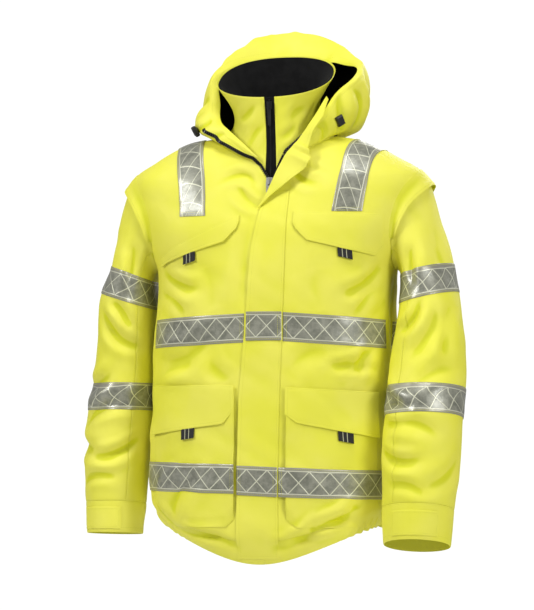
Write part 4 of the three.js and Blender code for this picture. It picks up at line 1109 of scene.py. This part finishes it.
def hem_casing():
    middle = float(angle_at_x(CENTRE_FRONT_X, HEM_SEAM))
    parts = [("right", -90, middle, 330), ("left", middle, 90, 300), ("back", 90, 270, 620)]
    for name, start, end, count in parts:
        angles = np.linspace(start + SIDE_SEAM_ANGLE, end - SIDE_SEAM_ANGLE, count)
        a, v = grid_of(angles, np.linspace(0, HEM_SEAM - 0.0005, 13))
        share = v / HEM_SEAM
        puff = 1.6 * np.sin(np.pi * np.clip(share, 0, 1))
        out = (gather_at(a) * (1 - share**3) + puff * smooth(1 - share, 0, 0.2))[..., None]
        normals = body_normal(a, v)
        points = body(a, v) + normals * out
        cloth(f"hem_casing_{name}", points, normals, -CLOTH, 0, SHELL, rolled="jJ")


# What lies on the body, seen from the front
def outline(edges, across):
    xs, tops, bottoms = [np.array([edge[name] for edge in edges], float) for name in edges[0]]
    stops = mix(xs[0], xs[-1], spaced(across, 4.0))
    corners = [x for x in xs[1:-1] if np.min(np.abs(stops - x)) > 0.8]
    stops = np.sort(np.concatenate([stops, corners]))
    return stops, np.interp(stops, xs, tops), np.interp(stops, xs, bottoms)


def patch(node, edges, size, low, high, finish, **looks):
    """A piece of cloth on the body inside an outline, with grid steps for its size."""
    across, up = size
    stops, top, bottom = outline(edges, across)
    x, b = grid_of(stops, spaced(up, 4.0))
    z = mix(bottom[:, None], top[:, None], b)
    return cloth(node, *on_body(*body_at(x, z)), low, high, finish, **looks)


# The storm flap's free and stitched edges, as x at these heights
FLAP_Z = (-728, -600, -454, -306, -189, -155, -111, -92)
FLAP_FREE = (-39, -40, -37, -25, -18, -12, -3, 6)
FLAP_STITCHED = (32, 32, 34, 39, 42, 43, 44, 44)


def flap_edges(z):
    return np.interp(z, FLAP_Z, FLAP_FREE), np.interp(z, FLAP_Z, FLAP_STITCHED)


def storm_flap():
    z = mix(FLAP_Z[0], FLAP_Z[-1], spaced(640, 4.2))
    free, stitched = flap_edges(z)
    a, height = grid_of(spaced(75, 4.2), z)
    angle, v = body_at(mix(free, stitched, a), height)

    def lift(ends):
        wave = 1.2 + 0.8 * np.sin(height / 47) + 0.5 * np.sin(height / 21 + 1)
        return wave * np.exp(-ends["i"] / 22) + 0.6 * smooth(a, 0.15, 0.5) * smooth(1 - a, 0.1, 0.3)

    cloth("storm_flap", *on_body(angle, v), LAP, ON_PANEL, SHELL, lift=lift,
          seams=[("I", 3.5, 0.35), ("i", 6, 0.3), ("j", 6, 0)])


# Outlines: top and bottom edges as heights along x
EDGE = "x top bottom"
CHEST_FLAPS = {
    "right": table(EDGE, (-190, -203, -219), (-145, -180, -203), (-68, -146, -181), (-45, -136, -158),
                   (-41, -134, -146)),
    "left": table(EDGE, (55, -129, -150), (60, -129, -160), (79, -130, -180), (190, -133, -205),
                  (204, -134, -188)),
}
LOWER_POCKETS = {
    "right": table(EDGE, (-200, -436, -676), (-58, -436, -674), (-44, -436, -660)),
    "left": table(EDGE, (46, -440, -660), (62, -440, -674), (192, -446, -676)),
}
LOWER_FLAPS = {
    "right": table(EDGE, (-204, -429, -516), (-65, -430, -496), (-45, -431, -474)),
    "left": table(EDGE, (44, -434, -480), (64, -435, -495), (192, -441, -521)),
}


def flap_lift(amount, phase):
    """A pocket flap's lower edge stands off a little, unevenly."""
    def lift(ends):
        wave = 1 + 0.35 * np.sin(ends["i"] / 19 + phase)
        return amount * wave * np.exp(-ends["j"] / 16)
    return lift


POCKET_SWELL = dict(edge=5.5, reach=26, middle=2.2)


def pocket_swell(free_side):
    """A patch pocket with a pleated edge stands proud along its free side."""
    def lift(ends):
        near = np.exp(-ends[free_side] / POCKET_SWELL["reach"])
        near = near * smooth(ends["j"], 0, 24) * smooth(ends["J"], 0, 30)
        full = smooth(ends["i"], 0, 60) * smooth(ends["I"], 0, 60)
        full = full * smooth(ends["j"], 0, 80) * smooth(ends["J"], 0, 80)
        return POCKET_SWELL["edge"] * near + POCKET_SWELL["middle"] * full
    return lift


def over_pocket(side, x, z):
    """How far the lower pocket holds off what lies on it at places seen from the front."""
    edges = LOWER_POCKETS[side]
    left, right, bottom = x - edges[0]["x"], edges[-1]["x"] - x, z - edges[1]["bottom"]
    free = np.maximum(right if side == "right" else left, 0)
    full = smooth(left, 0, 60) * smooth(right, 0, 60) * smooth(bottom, 0, 80)
    near = POCKET_SWELL["edge"] * np.exp(-free / POCKET_SWELL["reach"])
    return (near + POCKET_SWELL["middle"] * full) * smooth(np.minimum(left, right), -12, 0) + 0.3


def pockets():
    for side, phase in (("right", 0.4), ("left", 2.0)):
        patch(f"chest_flap_{side}", CHEST_FLAPS[side], (160, 60), LAP, ON_PANEL, SHELL,
              lift=flap_lift(1.7, phase), seams=[("j", 5.5, 0.4), ("J", 1.6, 0.3)])
        patch(f"lower_pocket_{side}", LOWER_POCKETS[side], (170, 240), LAP, ON_PANEL, SHELL,
              lift=pocket_swell("I" if side == "right" else "i"),
              seams=[("j", 2.2, 0.35), ("i", 2.2, 0.3), ("I", 2.2, 0)])

        def lift(ends, phase=phase):
            return 2.4 + flap_lift(1.6, phase)(ends)
        patch(f"lower_flap_{side}", LOWER_FLAPS[side], (170, 84), ON_PANEL + LAP, ON_POCKET, SHELL,
              lift=lift, seams=[("j", 5.5, 0.4), ("iI", 5.5, 0), ("J", 1.8, 0.3)])


# Reflective tape
def tape_piece(node, points, normals, low, closed=False):
    seams = [("jJ", 2.6, 0.25)]
    if not closed:
        seams = seams + [("iI", 2.2, 0), ("iI", 6.5, 0)]
    cloth(node, points, normals, low, low + TAPE, REFLECTIVE, name=f"{node}_tape", closed=closed, seams=seams)


FRONT_BANDS = table("node start end low lift pocket",
    ("chest_band_right", (-207, -313), (-28.5, CHEST_BAND_TOP), LAP, 0, None),
    ("chest_band_flap", (-24, CHEST_BAND_TOP + 3), (37.8, CHEST_BAND_TOP + 3), ON_PANEL + LAP, 1.4, None),
    ("chest_band_left", (39.8, CHEST_BAND_TOP + 2), (203, -315), LAP, 0, None),
    ("hem_band_right", (-213, -563), (-43, HEM_BAND_TOP), ON_PANEL + LAP, 0, "right"),
    ("hem_band_flap", (-39, -568), (31.2, -571), ON_PANEL + LAP, 1.4, None),
    ("hem_band_left", (33.6, -571), (199, -577), ON_PANEL + LAP, 0, "left"),
)


def front_band(node, start, end, low, lift, pocket):
    """A band between the tops of its two ends, which may lie over a pocket."""
    length = abs(end[0] - start[0])
    x = mix(start[0], end[0], spaced(length * 1.15, 3.6))
    top = np.interp(x, (start[0], end[0]), (start[1], end[1]))
    xs, b = grid_of(x, spaced(TAPE_WIDTH, 4.0))
    z = top[:, None] - TAPE_WIDTH * (1 - b)
    points, normals = on_body(*body_at(xs, z))
    if pocket:
        lift = over_pocket(pocket, xs, z)[..., None]
    tape_piece(node, points + normals * lift, normals, low)


def bands():
    for band in FRONT_BANDS:
        front_band(**band)
    for node, top in (("chest_band_back", -314), ("hem_band_back", -570)):
        _, v = body_at(np.zeros(2), np.array([top - TAPE_WIDTH, top]), True)
        angle, height = grid_of(np.linspace(91, 269, 150), mix(v[0], v[1], spaced(TAPE_WIDTH, 4.0)))
        tape_piece(node, *on_body(angle, height), LAP)


SHOULDER_TAPES = {
    "right": dict(front=-125, crest=-154, back=-122, low=-134),
    "left": dict(front=145, crest=174, back=124, low=-129),
}
BACK_TAPE_LOW = -312
SHOULDER_LAP = 0.7


def crest_at(x):
    """The section at which the body's side is at x, over the shoulder."""
    start = np.full(x.shape, ARMHOLE["top"])

    def outside(v):
        return np.abs(ring(body_row(v), np.sign(x) * 90)[..., 0]) > np.abs(x)

    return halved(start, np.ones(x.shape), 24, outside)


def shoulder_tapes():
    for side, tape in SHOULDER_TAPES.items():
        sign = 1 if side == "left" else -1
        shift = (spaced(TAPE_WIDTH, 4.0) - 0.5) * TAPE_WIDTH
        halves = []
        runs = ((False, tape["front"], tape["low"], 46), (True, tape["back"], BACK_TAPE_LOW, 84))
        for back, low_x, low_z, count in runs:
            s = np.linspace(0, 1, count)
            s = s[::-1] if not back else s[1:]
            w, along = grid_of(shift, s)
            x = mix(tape["crest"], low_x, along) + w
            _, low_v = body_at(low_x + w, np.full(w.shape, float(low_z)), back)
            v = mix(crest_at(x), low_v, along**2)
            angle = np.where(along == 0, 180 - sign * 90 if back else sign * 90, angle_at_x(x, v, back))
            halves.append((np.where(angle < -180, angle + 360, angle), v))
        angle, v = [np.concatenate([halves[0][k], halves[1][k]], axis=1) for k in (0, 1)]
        points, normals = [np.swapaxes(values, 0, 1)[::-1] for values in on_body(angle, v)]
        tape_piece(f"shoulder_tape_{side}", points, normals, SHOULDER_LAP)


# Sleeves, from the armhole seam to the cuff
SLEEVES = {
    "right": dict(sign=-1, rings=RIGHT_SLEEVE, lower_band=(0.545, 0.625)),
    "left": dict(sign=1, rings=LEFT_SLEEVE, lower_band=(0.565, 0.645)),
}
SLEEVE_SEAM_TURN = 0.15
SLEEVE_PARTS = table("part start end width seams",
    ("under", 126, 234, 126, [("j", 2, 0.3)]),
    ("upper", 234, 486, 261, [("j", 2, 0.3), ("iI", 1.8, 0)]),
)
UPPER_BAND_TOP = {"right": dict(outer=-211, inner=-242), "left": dict(outer=-216, inner=-237)}
ROUND_TURNS = np.linspace(0, 360, 97)[:-1]
BAND_TURNS = np.linspace(0, 360, 121)[:-1]
CUFF_LINING = 0.885
CUFF_TAB = {"low": 0.985, "high": 0.89, "right": (28, 117), "left": (46, 128)}
CAP_TURN = 108


def on_sleeve(side, turns, times):
    """Points and normals on a sleeve, in the order that turns the cloth's outer side out."""
    sign, surface = SLEEVES[side]["sign"], SLEEVES[side]["surface"]
    turn, t = grid_of(turns[::-sign], times[::-1])
    return surface(turn, t), sleeve_normal(surface, sign, turn, t)


def sleeve_times(side, turns, heights):
    """Where on the sleeve's way down its cloth reaches the given heights."""
    surface = SLEEVES[side]["surface"]
    low, high = np.full(turns.shape, 0.004), np.full(turns.shape, 0.5)
    return halved(low, high, 16, lambda t: surface(turns, t)[..., 2] > heights)


def upper_band(side):
    """Points and normals of the upper sleeve band, which lies level round the arm near its head."""
    sign, surface = SLEEVES[side]["sign"], SLEEVES[side]["surface"]
    turns = BAND_TURNS[::-sign]
    top = mix(UPPER_BAND_TOP[side]["outer"], UPPER_BAND_TOP[side]["inner"], (1 - cosine(turns)) / 2)
    start, end = sleeve_times(side, turns, top), sleeve_times(side, turns, top - TAPE_WIDTH)
    turn, b = grid_of(turns, spaced(TAPE_WIDTH, 4.0))
    t = mix(end[:, None], start[:, None], b)
    return surface(turn, t), sleeve_normal(surface, sign, turn, t)


def sleeve_panels(side):
    times = np.concatenate([[0, 0.002, 0.006, 0.012], np.linspace(0.02, CUFF_SEAM - 0.006, 138),
                            [CUFF_SEAM - 0.003, CUFF_SEAM - 0.001, CUFF_SEAM]])
    for row in SLEEVE_PARTS:
        part, start, end, width, seams = row.values()
        turns = mix(start + SLEEVE_SEAM_TURN, end - SLEEVE_SEAM_TURN, spaced(width, 4.6))
        cloth(f"{side}_sleeve_{part}", *on_sleeve(side, turns, times), -CLOTH, 0, SHELL, seams=seams)


def cuff_pieces(side):
    times = np.concatenate([[CUFF_SEAM + 0.0006, CUFF_SEAM + 0.003], np.linspace(CUFF_SEAM + 0.008, 0.99, 16),
                            [0.996, 1.0]])
    cloth(f"{side}_cuff", *on_sleeve(side, ROUND_TURNS, times), -CLOTH, 0, SHELL, closed=True,
          seams=[("J", 2, 0.3), ("j", 9, 0.3)])
    cloth(f"{side}_cuff_lining", *on_sleeve(side, ROUND_TURNS, np.linspace(CUFF_LINING, 0.993, 12)),
          UNDER - FACING, UNDER, SHELL, name=f"{side}_cuff_facing", closed=True)
    turns = mix(*CUFF_TAB[side], spaced(80, 3.2))
    times = mix(CUFF_TAB["high"], CUFF_TAB["low"], spaced(58, 3.4))
    cloth(f"{side}_cuff_tab", *on_sleeve(side, turns, times), LAP, ON_PANEL, SHELL,
          seams=[("iIjJ", 4, 0.3)], trim=4)


def sleeves():
    for side, sleeve in SLEEVES.items():
        sleeve["surface"] = sleeve_surface(sleeve["sign"], sleeve["rings"], SLEEVE_FOLDS[side])
        sleeve_panels(side)
        cuff_pieces(side)
        lower_times = mix(*sleeve["lower_band"], spaced(TAPE_WIDTH, 4.0))
        for part, place in (("upper", upper_band(side)), ("lower", on_sleeve(side, BAND_TURNS, lower_times))):
            tape_piece(f"{side}_sleeve_band_{part}", *place, LAP, closed=True)


# A shoulder cap's rows, from its free edge over the sleeve's head to its flange under the body's cloth
CAP_ROWS = table("kind at lift",
    ("sleeve", 0.042, 7.2), ("sleeve", 0.036, 6.2), ("sleeve", 0.026, 4.4), ("sleeve", 0.014, 2.6),
    ("seam", 0, 1.0), ("body", -3, 0.1), ("body", -7, -0.9), ("body", -12, -1.75),
)


def shoulder_caps():
    for side, sleeve in SLEEVES.items():
        sign, surface = sleeve["sign"], sleeve["surface"]
        turns = np.linspace(-CAP_TURN, CAP_TURN, 90)[::-sign]
        taper = 0.35 + 0.65 * np.sqrt(cosine(turns * 90 / (CAP_TURN + 10)))
        start, away, normal = armhole_frame(sign, turns)
        columns, ways = [], []
        for row in CAP_ROWS:
            kind, at, lift = row.values()
            if kind == "sleeve":
                way = sleeve_normal(surface, sign, turns, at * taper)
                point = surface(turns, at * taper)
            else:
                way = normal
                if kind == "seam":
                    way = unit(normal + sleeve_normal(surface, sign, turns, 0.014))
                point = start + away * (at * taper)[:, None]
            columns.append(point + way * (lift * (taper if lift > 0 else 1) + 0 * turns)[:, None])
            ways.append(way)
        points, normals = np.stack(columns, axis=1), np.stack(ways, axis=1)
        cloth(f"{side}_shoulder_cap", points, normals, 0, CLOTH, SHELL, seams=[("j", 5, 0)])


# Collar, inner zip tape and hood
# Half the inner zip's gap, as an angle round the neck
COLLAR_GAP = math.degrees(17 / 2 / 82)


def collar_pieces():
    angles = mix(collar_middle + COLLAR_GAP, collar_middle + 360 - COLLAR_GAP, spaced(600, 4.2))
    rows = np.concatenate([np.linspace(0, 1, 13)[:-1], 1 + spaced(110, 4.0)])
    cloth("collar", *on_collar(*grid_of(angles, rows)), -CLOTH, 0, SHELL, seams=[("iI", 5, 0.35)])
    inside = on_collar(*grid_of(angles, 1 + 0.985 * spaced(110, 4.4)))
    cloth("collar_lining", *inside, UNDER - FACING, UNDER, BLACK, name="collar_fleece")
    angles = mix(collar_middle - COLLAR_GAP + 0.25, collar_middle + COLLAR_GAP - 0.25, np.linspace(0, 1, 9))
    cloth("inner_zip_tape", *on_collar(*grid_of(angles, rows)), -CLOTH, -0.4, BLACK)


def hood_pieces():
    angles = mix(HOOD_ENDS[0], HOOD_ENDS[1], spaced(880, 4.6))
    outside = on_hood(*grid_of(angles, spaced(260, 4.6)))
    cloth("hood", *outside, -CLOTH, 0, SHELL, seams=[("J", 14, 0.5), ("j", 3, 0)])
    inside = on_hood(*grid_of(angles[7:-7], np.linspace(0.16, 0.93, 46)))
    cloth("hood_lining", *inside, UNDER - FACING, UNDER, BLACK, name="hood_mesh_lining")


# The outer zip's tape and teeth run up the V and on over the hood's front, from one angle and level
# of the hood to another
ZIP_WIDTH = 5.6
HOOD_ZIP = {"right": (-14.5, -62, 0.52, 0.58), "left": (-340, -306, 0.95, 0.97)}

# Zip teeth are blocks that narrow upwards: (along, across, out) of a block's foot and top
TOOTH = ((1.05, 3.3, -0.4), (0.7875, 2.805, 1.6))
TOOTH_PITCH = 4.0
COIL = ((0.5, 1.5, -0.5), (0.35, 1.2, 0.9))
COIL_PITCH = 3.0
BLOCK_FACES = [(4, 5, 6, 7), (0, 4, 7, 3), (1, 5, 4, 0), (2, 6, 5, 1), (3, 7, 6, 2)]


def block(levels, shift=(0, 0)):
    return [(shift[0] + a * along, shift[1] + s * across, out) for along, across, out in levels
            for a, s in ((-1, -1), (-1, 1), (1, 1), (1, -1))]


def outer_zip(side):
    v = np.linspace(0.925, 0.993, 22)
    angle = angle_at_x(front_edge(side, v) + (1.6 if side == "right" else -1.6), v)
    points, normals = on_body(angle, v)
    line = points - normals * mix(1.9, 0.9, np.linspace(0, 1, 22))[:, None]
    first, last, low, high = HOOD_ZIP[side]
    way = np.linspace(0, 1, 46)
    hood_points, hood_normals = on_hood(mix(first, last, way), mix(low, high, way))
    return np.concatenate([line, hood_points + hood_normals * 0.5]), np.concatenate([normals, hood_normals])


def outer_zips():
    teeth = []
    for side in ("right", "left"):
        line, way = outer_zip(side)
        along = unit(np.gradient(line, axis=0))
        aside = np.cross(along, way)
        points = np.stack([line + aside * (ZIP_WIDTH * s) for s in np.linspace(-0.5, 0.5, 5)])
        cloth(f"outer_zip_tape_{side}", points, np.stack([way] * 5), -0.5, 0.3, BLACK, rolled="")
        teeth.append((line + way * 0.3, way))
    small_parts("outer_zip_teeth", teeth, TOOTH_PITCH, block(TOOTH), BLOCK_FACES, PLASTIC, 30)


def inner_zip_teeth():
    b = np.concatenate([np.linspace(0.02, 1, 60)[:-1], np.linspace(1, 1.96, 90)])
    line = on_collar(np.full(b.shape, collar_middle), b)
    for name, sign in (("near", 1), ("far", -1)):
        corners = block(COIL, (0.75 * sign, 0.5 * sign))
        small_parts(f"inner_zip_coil_{name}", [line], COIL_PITCH, corners, BLOCK_FACES, PLASTIC, 30)


# The top of the storm flap lies folded open over the hood's front edge, and ruffles. Its stitched and
# its free edge go through these points (x, y, z).
TURNED_OPEN = table("stitched free",
    ((-9, -121, -122), (-7, -121, -123)), ((4, -116, -98), (12, -117, -102)),
    ((10, -113, -84), (30, -114, -88)), ((22, -108, -55), (50, -110, -70)),
    ((34, -101, -30), (73, -103, -51)),
    ((43, -96, -17), (80, -98, -36)), ((53, -91, -5), (73, -90, -17)), ((68, -82, 18), (80, -83, 11)),
    ((83, -72, 44), (96, -73, 37)), ((99, -54, 78), (102, -53, 72)),
)


NO_CLOTH_Y = -70
UNDER_TURNED = ("hood_cloth", "left_front_cloth", "right_front_cloth", "storm_flap_cloth")


def front_of(objects, x, z):
    """How far forward the given objects reach at places seen from the front."""
    reach = np.full(x.shape, 0.0)
    trees = [BVHTree.FromObject(obj, bpy.context.evaluated_depsgraph_get()) for obj in objects]
    for index in np.ndindex(x.shape):
        start = Vector((x[index] * MM, -1.0, z[index] * MM))
        hits = [tree.ray_cast(start, Vector((0, 1, 0)))[0] for tree in trees]
        reach[index] = min([hit.y / MM for hit in hits if hit], default=NO_CLOTH_Y)
    return reach


def turned_flap():
    stitched, free = [np.array([row[name] for row in TURNED_OPEN], float) for name in TURNED_OPEN[0]]
    keys = np.linspace(0, 1, len(free))
    across, along = grid_of(spaced(34, 3.0), spaced(185, 3.2))
    x, guess, z = [mix(np.interp(along, keys, stitched[:, k]), np.interp(along, keys, free[:, k]), across)
                   for k in range(3)]
    y = np.clip(front_of([bpy.data.objects[name] for name in UNDER_TURNED], x, z), guess - 9, guess)
    for _ in range(30):
        padded = np.pad(y, 1, mode="edge")
        around = (padded[:-2, 1:-1] + padded[2:, 1:-1] + padded[1:-1, :-2] + padded[1:-1, 2:]) / 4
        y = mix(y, around, 0.9)
    points = stack(x, y - 1.2, z)
    normals = unit(np.cross(np.gradient(points, axis=0), np.gradient(points, axis=1)))
    normals = normals * np.where(normals[..., 1:2] > 0, -1.0, 1.0)

    def lift(ends):
        ruffle = np.sin(along * 31 + 1.6 * np.sin(along * 11)) * (0.35 + 0.9 * across)
        return 2.6 + 2.6 * ruffle * smooth(along, 0.1, 0.45) + 2.4 * across * smooth(along, 0.0, 0.2)

    cloth("flap_turnback", points, normals, LAP, LAP + CLOTH, SHELL, lift=lift, seams=[("I", 5, 0)])


# Pull tabs of webbing, which hang out from under the pocket flaps
TAB_PLACES = table("node flap start end drop low",
    ("chest_tab_right", CHEST_FLAPS["right"], -143, -120, 16, LAP),
    ("chest_tab_left", CHEST_FLAPS["left"], 131, 154, 16, LAP),
    ("lower_tab_right", LOWER_FLAPS["right"], -140, -117, 17, ON_PANEL + LAP + 2.3),
    ("lower_tab_left", LOWER_FLAPS["left"], 131, 154, 17, ON_PANEL + LAP + 2.3),
)
TAB_THICK = 1.4


def tab_edges(flap, start, end, drop):
    """A tab's edges: its top is under the flap's lower edge and follows it."""
    bottoms = np.interp((start, end), [edge["x"] for edge in flap], [edge["bottom"] for edge in flap])
    return table(EDGE, *[(x, bottom + 5, bottom - drop) for x, bottom in zip((start, end), bottoms)])


def pull_tabs():
    def lift(ends):
        return 2.4 * np.exp(-ends["j"] / 9) + 0.5

    for place in TAB_PLACES:
        node, flap, start, end, drop, low = place.values()
        patch(node, tab_edges(flap, start, end, drop), (23, 22), low, low + TAB_THICK, WEBBING,
              name=f"{node}_webbing", lift=lift)


body_panels()
hem_casing()
storm_flap()
pockets()
bands()
shoulder_tapes()
sleeves()
shoulder_caps()
collar_pieces()
hood_pieces()
turned_flap()
outer_zips()
inner_zip_teeth()
pull_tabs()
make_stitches()


# Hard parts keep their model form and get their finish
PLASTIC_NODES = ["cord_lock_right", "cord_lock_left", "inner_zip_slider", "inner_zip_pull"]
for node in PLASTIC_NODES + ["outer_zip_slider", "outer_zip_pull"]:
    material = PLASTIC if node in PLASTIC_NODES else SILVER
    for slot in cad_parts[node].material_slots:
        slot.material = material


# Stage and light
LIGHTS = table("name place size power",
    ("key", (-2.7, -2.2, 1.8), (0.9, 1.2), 86),
    ("fill", (2.9, -2.2, 0.7), (1.1, 1.5), 61),
    ("top", (0.2, -0.9, 2.3), (1.0, 1.0), 32),
    ("rim", (0.6, 2.8, 1.4), (2.4, 1.6), 52),
)
LIGHT_AIM = (0, 0, -0.28)
WORLD_STRENGTH = 0.24
BACKDROP_STRENGTH = 1.05
FLOOR_Z = -1.45


def area_light(name, place, size, power):
    data = bpy.data.lights.new(name, "AREA")
    data.shape = "RECTANGLE"
    data.size, data.size_y = size
    data.energy = power
    light = bpy.data.objects.new(name, data)
    light.location = place
    light.rotation_euler = (Vector(LIGHT_AIM) - Vector(place)).to_track_quat("-Z", "Y").to_euler()
    bpy.context.collection.objects.link(light)


def studio_world():
    """An even white world, which the camera sees brighter."""
    world = bpy.data.worlds.new("studio")
    world.use_nodes = True
    tree = world.node_tree
    bright = tree.nodes.new("ShaderNodeBackground")
    for node, strength in ((tree.nodes["Background"], WORLD_STRENGTH), (bright, BACKDROP_STRENGTH)):
        node.inputs["Color"].default_value = (1, 1, 1, 1)
        node.inputs["Strength"].default_value = strength
    path = tree.nodes.new("ShaderNodeLightPath")
    choice = tree.nodes.new("ShaderNodeMixShader")
    tree.links.new(path.outputs["Is Camera Ray"], choice.inputs[0])
    tree.links.new(tree.nodes["Background"].outputs[0], choice.inputs[1])
    tree.links.new(bright.outputs[0], choice.inputs[2])
    tree.links.new(choice.outputs[0], tree.nodes["World Output"].inputs["Surface"])
    bpy.context.scene.world = world


def studio():
    for light in LIGHTS:
        area_light(**light)
    studio_world()
    place = (0, 0, FLOOR_Z)
    bpy.ops.mesh.primitive_circle_add(vertices=96, radius=2.6, fill_type="NGON", location=place)
    floor = bpy.context.object
    floor.name = "floor"
    n = Nodes("floor_paper")
    shade = n.ramp(n.noise(3, 3), 0.3, 0.7, ((0.86, 0.86, 0.85), (0.9, 0.9, 0.89)))
    n.set(Base_Color=shade, Roughness=0.8)
    floor.data.materials.append(n.material)
    view = bpy.context.scene.view_settings
    view.view_transform = "Standard"
    view.look = "None"


studio()
